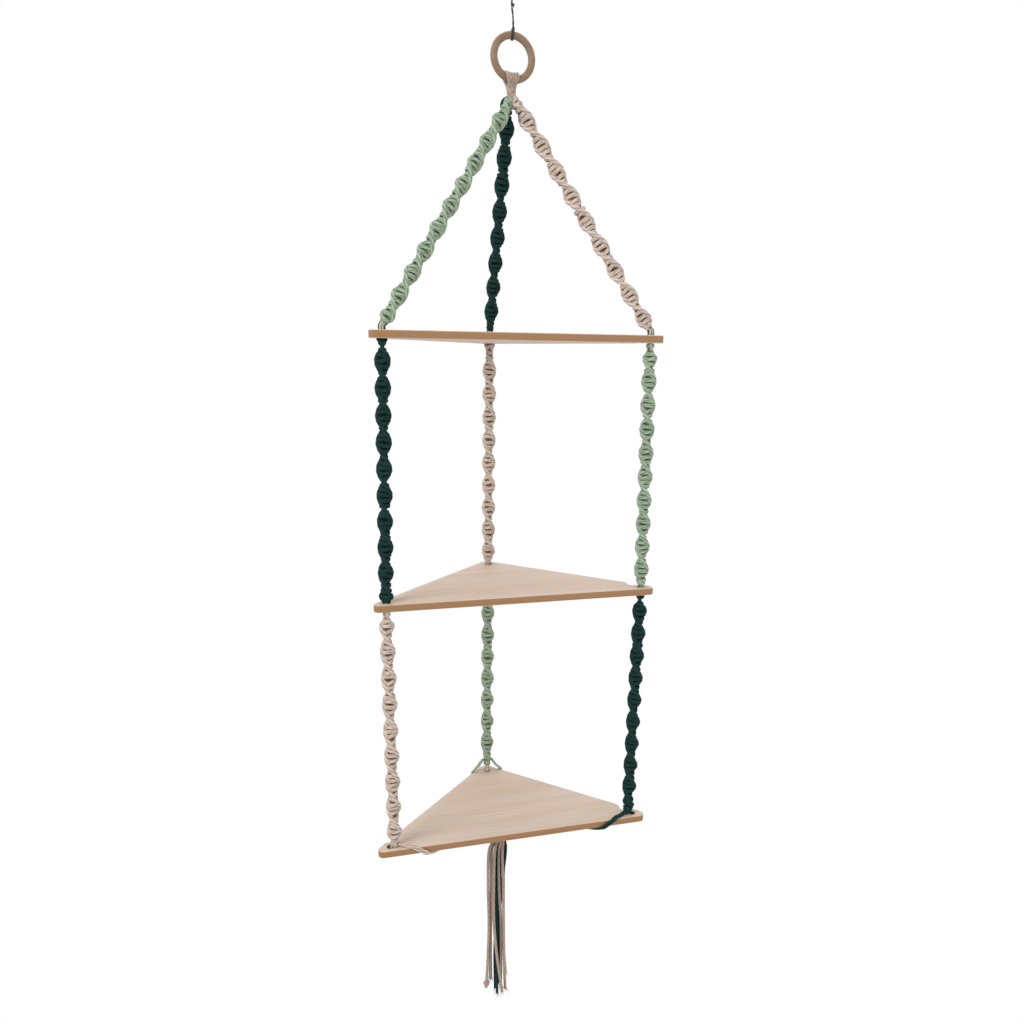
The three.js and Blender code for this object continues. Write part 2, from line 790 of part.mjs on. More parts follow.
const gatherProfile = [
  ...ballProfile(ballRows, pivotRadius, tasselPivot),
  [gatherRadius - gatherRound, gatherBottom],
  [gatherRadius, gatherBottom + gatherRound],
  [gatherRadius, gatherTop - gatherRound],
  [gatherRadius - gatherRound, gatherTop],
  [0, gatherTop],
];
place('strap_gather', turned(gatherProfile, gatherSides, gatherPoint), 'beige');

// Tassel tie: a wound neck with a round lower end that the strands leave
const tieTop = tasselPivot - pivotRadius - gap;
const tieNeck = 4.2;
const tieLength = 15.2;
const swayPivot = tieTop - tieLength;
const tieBall = 6.3;
const tieBallRows = [-90, -65, -40, -15, 10].map(THREE.MathUtils.degToRad);
const shoulderShare = 0.86;
const tieShoulder = swayPivot + Math.sqrt(tieBall ** 2 - tieNeck ** 2) * shoulderShare;
const tieProfile = [
  ...ballProfile(tieBallRows, tieBall, swayPivot),
  [tieNeck, tieShoulder],
  [tieNeck, tieTop],
  [0, tieTop],
];
place('tassel_tie', turned(tieProfile, gatherSides, gatherPoint), 'beige');

const tieTurns = 2;
const tieMiddle = new THREE.Vector3(gatherX, 0, bottomBoardTop + (tieTop + tieShoulder) / 2);
const tieWrap = winding(tieMiddle, tieNeck, tieTurns, windingPitch);
place('tassel_wrap', tieWrap.geometry, 'beige');
console.log('least gap between turns, tassel wrap:', tieWrap.least.toFixed(2));

// Tassel strands: colour, first direction, length beyond the tassel's end and [x, y] at five heights
const strandHeights = [-1180, -1240, -1300, -1360, -tasselEnd];
const strands = {
  beige_1: { look: 'beige', polar: 50, around: 205, end: -13, track: [[-24, -6], [-26.5, -7], [-25, -7], [-26, -6], [-28, -6]] },
  beige_2: { look: 'beige', polar: 50, around: 245, end: 0, track: [[-17, -10], [-19, -11], [-18.5, -12], [-13, -12], [-5, -12]] },
  beige_3: { look: 'beige', polar: 50, around: 325, end: 0, track: [[-6, -9], [-4.5, -10], [-3, -9], [-1.5, -8], [1, -7]] },
  beige_4: { look: 'beige', polar: 17.2, around: 180, end: -20, track: [[-19, -3], [-20.5, -4], [-21, -3], [-21, -3], [-21.5, -3]] },
  beige_5: { look: 'beige', polar: 50, around: 285, end: 0, track: [[-10, -7], [-10, -7], [-6.5, -5.5], [-5, -4], [-5, -3]] },
  forest_1: { look: 'forest', polar: 50, around: 5, end: -6, track: [[0.5, -2.5], [-4, -2.5], [-7.5, -1], [-8, 0], [-7.5, 0.5]] },
  forest_2: { look: 'forest', polar: 17.2, around: 300, end: 8, track: [[-12, -2.5], [-13.5, -3], [-12, -4], [-12.5, -4], [-10.5, -3.5]] },
  forest_3: { look: 'forest', polar: 50, around: 125, end: 4, track: [[-13, 4], [-12, 5], [-12, 4], [-13, 4], [-12, 3]] },
  forest_4: { look: 'forest', polar: 17.2, around: 60, end: -10, track: [[-6.5, 3.5], [-6, 3.5], [-6, 3.5], [-7, 4], [-6, 4.5]] },
  mint_1: { look: 'mint', polar: 50, around: 165, end: -14, track: [[-20, 1], [-20, 1], [-20.5, 1], [-19.5, 2], [-19, 2]] },
  mint_2: { look: 'mint', polar: 50, around: 45, end: -20, track: [[-1.5, 2.5], [-0.5, 3], [0, 3], [1, 2], [3.5, 1]] },
  mint_3: { look: 'mint', polar: 50, around: 85, end: -26, track: [[-9.5, 9], [-9, 9], [-8.5, 9], [-8.5, 9], [-8, 9]] },
};
const strandSides = 8;
const strandSteps = 26;
const strandLead = 4;
const swayCentre = new THREE.Vector3(gatherX, 0, bottomBoardTop + swayPivot);

for (const [name, { look, polar, around, end, track }] of Object.entries(strands)) {
  const tilt = THREE.MathUtils.degToRad(polar);
  const bearing = THREE.MathUtils.degToRad(around);
  const way = new THREE.Vector3(
    Math.sin(tilt) * Math.cos(bearing),
    Math.sin(tilt) * Math.sin(bearing),
    -Math.cos(tilt),
  );
  const points = [
    swayCentre.clone().addScaledVector(way, tieBall + gap),
    swayCentre.clone().addScaledVector(way, tieBall + gap + strandLead),
    ...track.map(([x, y], i) => new THREE.Vector3(x, y, strandHeights[i] - (i === track.length - 1 ? end : 0))),
  ];
  place(`strand_${name}`, tube(points, cordRadius, strandSides, strandSteps), look);
}

export default group;
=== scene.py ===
import math
import random

import bmesh
import bpy
from mathutils import Matrix, Vector


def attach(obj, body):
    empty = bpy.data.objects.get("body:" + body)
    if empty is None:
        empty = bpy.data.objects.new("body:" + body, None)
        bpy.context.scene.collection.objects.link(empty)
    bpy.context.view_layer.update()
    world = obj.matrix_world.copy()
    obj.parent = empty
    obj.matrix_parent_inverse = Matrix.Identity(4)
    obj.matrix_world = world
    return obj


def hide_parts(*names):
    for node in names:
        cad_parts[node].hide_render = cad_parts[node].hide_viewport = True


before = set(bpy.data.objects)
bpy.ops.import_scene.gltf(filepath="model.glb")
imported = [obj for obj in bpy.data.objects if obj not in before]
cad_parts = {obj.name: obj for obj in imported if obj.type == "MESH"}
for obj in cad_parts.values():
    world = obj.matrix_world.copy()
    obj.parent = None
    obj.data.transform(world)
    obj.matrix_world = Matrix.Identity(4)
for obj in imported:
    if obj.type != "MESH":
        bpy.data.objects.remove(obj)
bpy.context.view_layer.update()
scene = bpy.context.scene
down = Vector((0, 0, -1))
crease = math.radians(40)
print("frame loaded")


def linked(name, data):
    made = bpy.data.objects.new(name, data)
    scene.collection.objects.link(made)
    return made


def meshOf(name, shape, smooth=False):
    mesh = bpy.data.meshes.new(name)
    shape.to_mesh(mesh)
    shape.free()
    if smooth:
        for face in mesh.polygons:
            face.use_smooth = True
    return mesh


# Camera at the photograph's angle
cameraView = {
    "place": (-0.2868, -1.0681, -0.4883),
    "right": (0.9651, -0.2619, 0.0110),
    "up": (0.0358, 0.1734, 0.9842),
    "lens": 29.016,
}


def addCamera(view):
    camera = linked("photoCamera", bpy.data.cameras.new("photoCamera"))
    camera.data.lens = view["lens"]
    camera.data.sensor_width = 36
    camera.data.sensor_fit = "HORIZONTAL"
    camera.data.clip_end = 30
    right = Vector(view["right"]).normalized()
    up = Vector(view["up"])
    up = (up - right * up.dot(right)).normalized()
    turn = Matrix((right, up, right.cross(up))).transposed()
    camera.matrix_world = Matrix.Translation(view["place"]) @ turn.to_4x4()
    scene.camera = camera


addCamera(cameraView)
print("camera placed")


# Shader maths: a Value is a socket, and each operator adds its Math node
class Value:
    def __init__(self, look, socket):
        self.look = look
        self.socket = socket

    def math(self, operation, *values):
        return self.look.node("ShaderNodeMath", {"operation": operation}, dict(enumerate(values)))

    def __add__(self, other):
        return self.math("ADD", self, other)

    def __mul__(self, other):
        return self.math("MULTIPLY", self, other)


class Look:
    def __init__(self, name, **sockets):
        self.material = bpy.data.materials.new(name)
        self.material.use_nodes = True
        self.tree = self.material.node_tree
        self.shader = self.tree.nodes["Principled BSDF"]
        self.feed(self.shader, {key.replace("_", " "): value for key, value in sockets.items()})

    def feed(self, node, sockets):
        for key, value in sockets.items():
            if isinstance(value, Value):
                self.tree.links.new(value.socket, node.inputs[key])
            else:
                node.inputs[key].default_value = value

    def node(self, kind, settings=None, sockets=None, output=0):
        made = self.tree.nodes.new(kind)
        for key, value in (settings or {}).items():
            if key == "stops":
                while len(made.color_ramp.elements) < len(value):
                    made.color_ramp.elements.new(1)
                for element, (place, shade) in zip(made.color_ramp.elements, value):
                    element.position = place
                    element.color = shade
            else:
                setattr(made, key, value)
        self.feed(made, sockets or {})
        return Value(self, made.outputs[output])

    def place(self, size=(1, 1, 1), turn=(0, 0, 0)):
        spot = self.node("ShaderNodeTexCoord", output="Object")
        return self.node("ShaderNodeMapping", sockets={"Vector": spot, "Scale": size, "Rotation": turn})

    def noise(self, vector, scale, detail=2, roughness=0.5):
        return self.node(
            "ShaderNodeTexNoise",
            sockets={"Vector": vector, "Scale": scale, "Detail": detail, "Roughness": roughness},
        )

    def ramp(self, factor, *stops):
        greys = [(place, (grey, grey, grey, 1)) for place, grey in stops]
        return self.node("ShaderNodeValToRGB", {"stops": greys}, {"Fac": factor})

    def mix(self, factor, first, second, blend="MIX"):
        settings = {"data_type": "RGBA", "blend_type": blend}
        return self.node("ShaderNodeMix", settings, {0: factor, 6: first, 7: second}, output=2)

    def bump(self, height, strength, distance):
        sockets = {"Height": height, "Strength": strength, "Distance": distance}
        return self.node("ShaderNodeBump", sockets=sockets)


# Linear colour from the eight-bit levels seen on a screen
def shade(*levels):
    shares = [level / 255 for level in levels]
    return tuple(c / 12.92 if c <= 0.04045 else ((c + 0.055) / 1.055) ** 2.4 for c in shares) + (1,)


# Cotton cord: three plies laid round each other, fibres, and slightly uneven dye; the ridges of the plies
# are painted lighter and the grooves between them darker, as painted light and shade
cottonCord = {
    "plies": 3,
    "lay": 0.0105,
    "fibre": 1500,
    "blotch": 55,
    "relief": 0.0005,
    "ridgeTone": 0.6,
    "fibreTone": 0.3,
    "leastTone": 0.1,
}


def cordLook(name, colour, grooveShade, sheen=0.15):
    look = Look(name, Roughness=0.9, Sheen_Weight=sheen, Sheen_Roughness=0.5, Specular_IOR_Level=0.2)
    uv = look.node("ShaderNodeUVMap", {"uv_map": "UVMap"})
    split = look.node("ShaderNodeSeparateXYZ", sockets={0: uv})
    around = Value(look, split.socket.node.outputs[1])
    phase = around * cottonCord["plies"] + split * (1 / cottonCord["lay"])
    turn = phase.math("FRACT", phase) * math.pi
    ridge = turn.math("SINE", turn)
    place = look.place()
    fibre = look.noise(place, cottonCord["fibre"], 3, 0.6)
    blotch = look.noise(place, cottonCord["blotch"], 2)
    # Painted highlight on the ply ridges and painted shade in the grooves, mixed with random fibre tone
    tone = ridge * cottonCord["ridgeTone"] + fibre * cottonCord["fibreTone"] + cottonCord["leastTone"]
    shadedPlies = look.mix(tone, grooveShade, colour)
    worn = look.ramp(blotch, (0.3, 0.86), (0.7, 1.0))
    base = look.mix(1.0, shadedPlies, worn, "MULTIPLY")
    height = ridge * 0.8 + fibre * 0.2
    look.feed(look.shader, {"Base Color": base, "Normal": look.bump(height, 0.4, cottonCord["relief"])})
    return look.material


# The second colour of each cord is the painted shade in the grooves between its plies
beigeCord = cordLook("beigeCotton", shade(229, 212, 199), shade(124, 101, 87))
mintCord = cordLook("mintCotton", shade(178, 196, 170), shade(64, 85, 62))
forestCord = cordLook("forestCotton", shade(23, 64, 60), shade(2, 9, 9), 0.02)
darkCord = cordLook("darkTwine", shade(78, 73, 70), shade(38, 35, 33))
# A darker copy of the beige cord: painted shade on the folded cords at the ring, the neck wrap and the
# tassel's beige ends
shadedBeige = cordLook("beigeCordShaded", shade(186, 166, 152), shade(128, 106, 92))
cordLooks = {"beige": beigeCord, "mint": mintCord, "forest": forestCord, "dark": darkCord}
endLooks = dict(cordLooks, beige=shadedBeige)
# Darker copies of the cord looks for the core strands: painted shade where the core lies deep between the
# knots
shadedCoreLooks = {
    "beige": cordLook("beigeCoreShaded", shade(136, 108, 90), shade(96, 72, 58)),
    "mint": cordLook("mintCoreShaded", shade(96, 122, 90), shade(52, 74, 50)),
    "forest": cordLook("forestCoreShaded", shade(11, 35, 33), shade(2, 9, 9), 0),
}


# Wood: streaks and fine lines along X; the side faces are painted darker and warmer, partly the wood's own
# colour at the cut and partly painted shade
def woodLook(name, pale, streak, line, cut, sizes):
    look = Look(name, Roughness=sizes["roughness"], Specular_IOR_Level=0.3)
    place = look.place()
    sway = look.noise(look.place((2.2, 9, 9), sizes["turn"]), 1, 2)
    spread = look.place(sizes["streak"], sizes["turn"])
    bent = look.node("ShaderNodeVectorMath", {"operation": "ADD"}, {0: spread, 1: sway * sizes["sway"]})
    streaks = look.ramp(look.noise(bent, 1, 3, 0.55), (0.42, 0.0), (0.72, 1.0))
    lines = look.noise(look.place(sizes["line"], sizes["turn"]), 1, 3, 0.6)
    fine = look.ramp(lines, (0.42, 1.0), (0.62, 0.0))
    pores = look.noise(place, 900, 2)
    warm = look.mix(streaks * sizes["warmth"], pale, streak)
    lined = look.mix(fine * sizes["lines"], warm, line)
    facing = look.node("ShaderNodeTexCoord", output="Normal")
    split = look.node("ShaderNodeSeparateXYZ", sockets={0: facing}, output=2)
    # Side faces take the cut colour: partly the wood's own edge colour, partly painted shade on faces that
    # the light from above misses
    side = look.ramp(split.math("ABSOLUTE", split), (0.35, 1.0), (0.8, 0.0))
    base = look.mix(side * sizes["cut"], lined, cut)
    height = lines * 0.7 + pores * 0.3
    look.feed(look.shader, {"Base Color": base, "Normal": look.bump(height, 0.25, 0.0003)})
    return look.material


boardGrain = {
    "roughness": 0.55,
    "turn": (0, 0, math.radians(-3)),
    "streak": (1.6, 24, 24),
    "sway": 1.4,
    "line": (7, 420, 420),
    "warmth": 0.75,
    "lines": 0.28,
    "cut": 0.9,
}
ringGrain = {
    "roughness": 0.45,
    "turn": (0, 0, math.radians(8)),
    "streak": (18, 70, 160),
    "sway": 1.2,
    "line": (40, 500, 900),
    "warmth": 0.8,
    "lines": 0.15,
    "cut": 0.0,
}
pine = (shade(208, 191, 177), shade(200, 174, 151), shade(176, 150, 128), shade(148, 104, 60))
beech = (shade(144, 118, 94), shade(120, 94, 66), shade(102, 80, 62), shade(150, 112, 72))
boardWood = woodLook("pineBoard", *pine, boardGrain)
ringWood = woodLook("beechRing", *beech, ringGrain)


def steelLook():
    look = Look("zincSteel", Metallic=0.9, Base_Color=shade(188, 190, 194))
    scuff = look.noise(look.place(), 220, 4)
    look.feed(look.shader, {"Roughness": scuff * 0.3 + 0.2, "Normal": look.bump(scuff, 0.12, 0.0003)})
    return look.material


zincSteel = steelLook()
print("materials made")


# Swept cords: a tube along a route, its UV map in metres along and in shares around it
def sweep(route, radius, sides=8, taper=None):
    curve = bpy.data.curves.new("sweep", "CURVE")
    curve.dimensions = "3D"
    curve.bevel_depth = radius
    curve.bevel_resolution = sides // 2 - 2
    curve.use_fill_caps = True
    line = curve.splines.new("POLY")
    line.points.add(len(route) - 1)
    for i, (spot, point) in enumerate(zip(line.points, route)):
        spot.co = (*point, 1)
        spot.radius = taper(i / (len(route) - 1)) if taper else 1
    holder = linked("sweep", curve)
    mesh = bpy.data.meshes.new_from_object(holder)
    bpy.data.objects.remove(holder)
    bpy.data.curves.remove(curve)
    length = routeLength(route)
    for corner in mesh.uv_layers[0].data:
        corner.uv.x *= length
    return mesh


def routeLength(route):
    return sum((b - a).length for a, b in zip(route, route[1:]))


# One object from swept or built meshes, each with its own material
def joinPiece(name, parts):
    shape = bmesh.new()
    looks = []
    for mesh, look in parts:
        if look not in looks:
            looks.append(look)
        before = len(shape.faces)
        shape.from_mesh(mesh)
        shape.faces.ensure_lookup_table()
        for face in shape.faces[before:]:
            face.material_index = looks.index(look)
            face.smooth = True
        bpy.data.meshes.remove(mesh)
    bmesh.ops.remove_doubles(shape, verts=shape.verts, dist=1e-7)
    bmesh.ops.recalc_face_normals(shape, faces=shape.faces)
    joined = meshOf(name, shape)
    for look in looks:
        joined.materials.append(look)
    return linked(name, joined)


def dress(piece, body, slotName, *nodes):
    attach(piece, body)
    if nodes:
        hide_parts(*nodes)


# Evenly spaced points on a smooth curve through the given ones
def smoothRoute(points, count, between=24):
    points = [Vector(p) for p in points]
    ends = [points[0] * 2 - points[1], *points, points[-1] * 2 - points[-2]]
    fine = []
    for a, b, c, d in zip(ends, ends[1:], ends[2:], ends[3:]):
        gaps = [max((q - p).length, 1e-6) ** 0.5 for p, q in ((a, b), (b, c), (c, d))]
        leave = ((b - a) / gaps[0] - (c - a) / (gaps[0] + gaps[1]) + (c - b) / gaps[1]) * gaps[1]
        arrive = ((c - b) / gaps[1] - (d - b) / (gaps[1] + gaps[2]) + (d - c) / gaps[2]) * gaps[1]
        for step in range(between):
            t = step / between
            fine.append(
                b * (2 * t**3 - 3 * t**2 + 1)
                + leave * (t**3 - 2 * t**2 + t)
                + c * (3 * t**2 - 2 * t**3)
                + arrive * (t**3 - t**2)
            )
    fine.append(points[-1])
    total = routeLength(fine)
    route, walked, i = [], 0.0, 0
    for step in range(count):
        target = total * step / (count - 1)
        while i < len(fine) - 2 and walked + (fine[i + 1] - fine[i]).length < target:
            walked += (fine[i + 1] - fine[i]).length
            i += 1
        span = (fine[i + 1] - fine[i]).length
        route.append(fine[i].lerp(fine[i + 1], min((target - walked) / span, 1)))
    return route


# Tassel: twelve loose cord ends below the bottom board, each with its real hanging length
swayCentre = Vector((-0.010, 0, -1.1659))
tassel = {
    "reach": 0.0066,
    "lead": 0.0106,
    "heights": (-1.180, -1.240, -1.300, -1.360, -1.416),
    "diameter": 0.0032,
    "loose": 1.3,
    "points": 34,
    "knotted": "beige_1",
    "knot": {"size": (0.0030, 0.0050), "strand": 0.0020},
}
# Tilt and bearing of the way out of the tie in degrees, drop of the end below the last height in metres,
# and places in millimetres at those heights
strands = {
    "beige_1": (50, 205, -0.013, ((-24, -6), (-26.5, -7), (-25, -7), (-26, -6), (-28, -6))),
    "beige_2": (50, 245, 0, ((-17, -10), (-19, -11), (-18.5, -12), (-13, -12), (-5, -12))),
    "beige_3": (50, 325, 0, ((-6, -9), (-4.5, -10), (-3, -9), (-1.5, -8), (1, -7))),
    "beige_4": (17.2, 180, -0.02, ((-19, -3), (-20.5, -4), (-21, -3), (-21, -3), (-21.5, -3))),
    "beige_5": (50, 285, 0, ((-10, -7), (-10, -7), (-6.5, -5.5), (-5, -4), (-5, -3))),
    "forest_1": (50, 5, -0.006, ((0.5, -2.5), (-4, -2.5), (-7.5, -1), (-8, 0), (-7.5, 0.5))),
    "forest_2": (17.2, 300, 0.008, ((-12, -2.5), (-13.5, -3), (-12, -4), (-12.5, -4), (-10.5, -3.5))),
    "forest_3": (50, 125, 0.004, ((-13, 4), (-12, 5), (-12, 4), (-13, 4), (-12, 3))),
    "forest_4": (17.2, 60, -0.01, ((-6.5, 3.5), (-6, 3.5), (-6, 3.5), (-7, 4), (-6, 4.5))),
    "mint_1": (50, 165, -0.014, ((-20, 1), (-20, 1), (-20.5, 1), (-19.5, 2), (-19, 2))),
    "mint_2": (50, 45, -0.02, ((-1.5, 2.5), (-0.5, 3), (0, 3), (1, 2), (3.5, 1))),
    "mint_3": (50, 85, -0.026, ((-9.5, 9), (-9, 9), (-8.5, 9), (-8.5, 9), (-8, 9))),
}
fray = {
    "fibres": 22,
    "radius": 0.00018,
    "taper": 0.6,
    "length": 0.009,
    "lengths": (0.5, 1.1),
    "spread": 0.0022,
    "atRoot": 0.3,
    "atMiddle": 0.4,
    "bend": 0.7,
    "inside": 0.003,
}


def fraying(name, tip, way, look, dice):
    parts = []
    for _ in range(fray["fibres"]):
        lean = Vector((dice.gauss(0, 1), dice.gauss(0, 1), 0)) * fray["spread"]
        start = tip + lean * fray["atRoot"] - way * fray["inside"]
        length = fray["length"] * dice.uniform(*fray["lengths"])
        bend = Vector((dice.gauss(0, 1), dice.gauss(0, 1), 0)) * fray["spread"] * fray["bend"]
        middle = start + way * length * 0.5 + lean * fray["atMiddle"]
        route = smoothRoute([start, middle, start + way * length + lean + bend], 6)
        parts.append((sweep(route, fray["radius"], 4, lambda t: 1 - fray["taper"] * t), look))
    return joinPiece(name, parts)


def tasselStrand(name, facts, dice):
    colour = name.split("_")[0]
    look, slotName = endLooks[colour], f"{colour}_cord"
    knotted = name == tassel["knotted"]
    tilt, bearing, drop, track = facts
    tilt, bearing = math.radians(tilt), math.radians(bearing)
    way = Vector((math.sin(tilt) * math.cos(bearing), math.sin(tilt) * math.sin(bearing), -math.cos(tilt)))
    guides = [swayCentre + way * tassel["reach"], swayCentre + way * tassel["lead"]]
    guides += [Vector((x / 1000, y / 1000, z)) for (x, y), z in zip(track, tassel["heights"])]
    guides[-1].z -= drop
    route = smoothRoute(guides, tassel["points"])
    hanging = sweep(route, tassel["diameter"] / 2 * tassel["loose"], 12)
    strand = joinPiece(f"strand_{name}", [(hanging, look)])
    if knotted:
        loops = overhand(route[-1], *tassel["knot"]["size"])
        end = joinPiece(f"knot_{name}", [(sweep(loops, tassel["knot"]["strand"], 10), look)])
    else:
        end = fraying(f"fray_{name}", route[-1], (route[-1] - route[-2]).normalized(), look, dice)
    dress(end, "tassel", slotName)
    dress(strand, "tassel", slotName, f"strand_{name}")
    routeLength(route)


# An overhand knot round a vertical cord: the trefoil's route, squashed to the given reach and height
def overhand(spot, reach, height, tilt=0.0):
    route = []
    for step in range(61):
        t = 2 * math.pi * step / 60 * 0.97
        x = math.sin(t) + 2 * math.sin(2 * t)
        y = math.cos(t) - 2 * math.cos(2 * t)
        z = -math.sin(3 * t)
        knot = Vector((x * reach / 3, z * reach / 2.2, y * height / 3))
        route.append(spot + Matrix.Rotation(tilt, 3, "X") @ knot)
    return route


dice = random.Random(7)
for name, facts in strands.items():
    tasselStrand(name, facts, dice)
print("tassel hung")


# Boards and their holes, which the columns hang between
boards = {
    "tops": {"top": -0.450, "middle": -0.787, "bottom": -1.124},
    "width": 0.400,
    "front": -0.06798,
    "back": 0.13802,
    "thickness": 0.010,
    "tipRadius": 0.0075,
    "backRadius": 0.012,
    "edgeRound": 0.0018,
    "holeRadius": 0.005,
    "notch": {"place": 0.0416, "reach": 0.013, "depth": 0.010},
}
holes = {
    "left": Vector((-0.1735, -0.05798, 0)),
    "back": Vector((0, 0.11402, 0)),
    "right": Vector((0.1735, -0.05798, 0)),
}
footPull = {"left": 0.006, "back": 0, "right": -0.006}

# Twisted half-knot columns
sinnet = {
    "drop": 0.0068,
    "width": 0.0066,
    "thick": 0.0042,
    "dive": 2.5,
    "square": 0.6,
    "lag": 1.5,
    "arch": 0.0006,
    "strand": 0.0018,
    "apart": 0.0008,
    "core": (0.0018, 0.0034),
    "strip": (0.0026, 0.0075),
    "filling": 0.0016,
    "fillingStep": 0.0025,
    "stripSwell": 0.58,
    "scallop": 0.14,
    "uneven": 0.0007,
    "steps": 16,
    "neckWidth": 0.0029,
    "neckThick": 0.0026,
    "faceTurn": math.radians(-15.2),
}
columns = {
    "top_left": {"look": "mint", "halfTurn": 0.0324, "first": 0.0188},
    "top_back": {"look": "forest", "halfTurn": 0.0338, "first": 0.0229},
    "top_right": {"look": "beige", "halfTurn": 0.0359, "first": 0.0217},
    "middle_left": {"look": "forest", "halfTurn": 0.0327, "first": 0.0143},
    "middle_back": {"look": "beige", "halfTurn": 0.0336, "first": 0.0277},
    "middle_right": {"look": "mint", "halfTurn": 0.0317, "first": 0.0082},
    "bottom_left": {"look": "beige", "halfTurn": 0.0359, "first": 0.0065},
    "bottom_back": {"look": "mint", "halfTurn": 0.0352, "first": 0.0206},
    "bottom_right": {"look": "forest", "halfTurn": 0.0325, "first": 0.0151},
}


def ease(distance, reach):
    share = min(max(distance / reach, 0), 1)
    return share * share * (3 - 2 * share)


def frameOf(way):
    across = (Vector((1, 0, 0)) - way * way.x).normalized()
    return across, way.cross(across)


def squarer(value, power):
    return math.copysign(abs(value) ** power, value)


# A column of half knots: four working strands, three core strands and two smooth strips down its sides
def halfKnots(start, end, facts, topReach, footReach, plain, lead, dice):
    way = (end - start).normalized()
    length = (end - start).length
    u, v = frameOf(way)
    knots = round(length / sinnet["drop"])
    drop = length / knots
    jitter = [[dice.gauss(0, 1) for _ in range(3)] for _ in range(knots + 2)]

    def fill(distance):
        return ease(distance + lead, topReach) * ease(length - distance - plain, footReach)

    def widthWay(fall):
        turn = -(sinnet["faceTurn"] + math.pi * (fall - facts["first"]) / facts["halfTurn"])
        return u * math.cos(turn) + v * math.sin(turn)

    def spot(t, cord):
        fall = drop * (t + sinnet["lag"] * math.sin(2 * math.pi * t) / (2 * math.pi))
        middle = math.sin(math.pi * t) ** 2
        deep, low, tilt = (value * sinnet["uneven"] * middle for value in jitter[int(max(t, 0))])
        arch = sinnet["arch"] * middle
        fall = min(max(fall - arch + low + tilt * math.cos(math.pi * t) * 2, 0), length)
        full = fill(fall)
        wide = widthWay(fall)
        thick = way.cross(wide)
        width = sinnet["neckWidth"] + (sinnet["width"] - sinnet["neckWidth"]) * full
        depth = sinnet["neckThick"] + (sinnet["thick"] - sinnet["neckThick"]) * full
        side = 1 if cord == 0 else -1
        x = side * width * squarer(math.cos(math.pi * t), 1 - (1 - sinnet["square"]) * full)
        y = -side * (depth + deep * full) * squarer(math.sin(math.pi * t), 1 + (sinnet["dive"] - 1) * full)
        return start + way * fall + wide * x + thick * y, thick

    working = []
    count = knots * sinnet["steps"]
    for cord in (0, 1):
        centre = [spot(knots * i / count, cord) for i in range(count + 1)]
        for lay in (-1, 1):
            route = []
            for i, (point, thick) in enumerate(centre):
                tangent = centre[min(i + 1, count)][0] - centre[max(i - 1, 0)][0]
                sideways = thick.cross(tangent).normalized()
                route.append(point + sideways * (lay * sinnet["apart"]))
            working.append(route)

    def beside(offset, near, far):
        route = []
        steps = max(round(length / sinnet["fillingStep"]), 4)
        for i in range(steps + 1):
            fall = length * i / steps
            reach = offset * (near + (far - near) * fill(fall))
            route.append(start + way * fall + widthWay(fall) * reach)
        return route

    core = [beside(offset, *sinnet["core"]) for offset in (-1, 0, 1)]
    strips = [beside(offset, *sinnet["strip"]) for offset in (-1, 1)]

    def swell(share):
        scallop = sinnet["scallop"] * math.cos(2 * math.pi * share * knots)
        return 1 + (sinnet["stripSwell"] + scallop) * fill(share * length)

    return working, core, strips, swell


def sinnetPiece(name, start, end, facts, topReach, footReach, plain=0.0, lead=0.0, seed=1):
    dice = random.Random(seed)
    working, core, strips, swell = halfKnots(start, end, facts, topReach, footReach, plain, lead, dice)
    look = cordLooks[facts["look"]]
    parts = [(sweep(route, sinnet["strand"], 8), look) for route in working]
    # The core strands take the darker copy of their cord: painted shade between the knots
    parts += [(sweep(route, sinnet["filling"], 10, swell), shadedCoreLooks[facts["look"]]) for route in core]
    parts += [(sweep(route, sinnet["filling"], 12, swell), look) for route in strips]
    return joinPiece(name, parts)


# Cords laid side by side round a line, slightly twisted, as in a hole
def bundle(name, route, colours, reach, radius, twist=0.6, sides=8):
    parts = []
    for number, colour in enumerate(colours):
        strand = []
        for i, point in enumerate(route):
            ahead = route[min(i + 1, len(route) - 1)] - route[max(i - 1, 0)]
            u, v = frameOf(ahead.normalized())
            angle = 2 * math.pi * number / len(colours) + twist * i / (len(route) - 1)
            strand.append(point + (u * math.cos(angle) + v * math.sin(angle)) * reach)
        parts.append((sweep(strand, radius, sides), cordLooks[colour]))
    return joinPiece(name, parts)


# Where the columns start and end, how their ends narrow and what fills the holes
branchRoot = Vector((0, 0, -0.1605))
hang = {
    "branch": 0.0143,
    "early": 0.0128,
    "rise": 0.005,
    "lead": 0.004,
    "neckHalf": 0.005,
    "footHalf": 0.0057,
    "gap": 0.0003,
    "crowded": -0.0042,
    "turnToKnots": 0.0103,
    "plain": 0.009,
    "knotClear": 0.0004,
    "knotLead": 0.008,
    "tailsShort": 0.0006,
    "tailsLead": 0.003,
}
narrowing = {
    "crowded": (0.034, 0.010),
    "leaning": (0.012, 0.010),
    "hanging": (0.009, 0.004),
    "knots": (0.012, 0.012),
    "middleTails": (0.004, 0.008),
    "bottomTails": (0.004, 0.018),
}
core = {
    "radius": 0.0016,
    "inHole": 0.0015,
    "lean": 0.0030,
    "upright": 0.0031,
    "pulled": 0.0017,
    "tails": 0.0027,
}
sixCords = ("forest", "mint", "beige", "forest", "mint", "beige")
coreDip = ((0.8, 0.0035), (0.45, 0.0002), (0.3, -0.005), (0.1, -0.010))


def leanTo(hole):
    end = hole + Vector((0, 0, boards["tops"]["top"] + hang["rise"]))
    return end, (end - branchRoot).normalized()


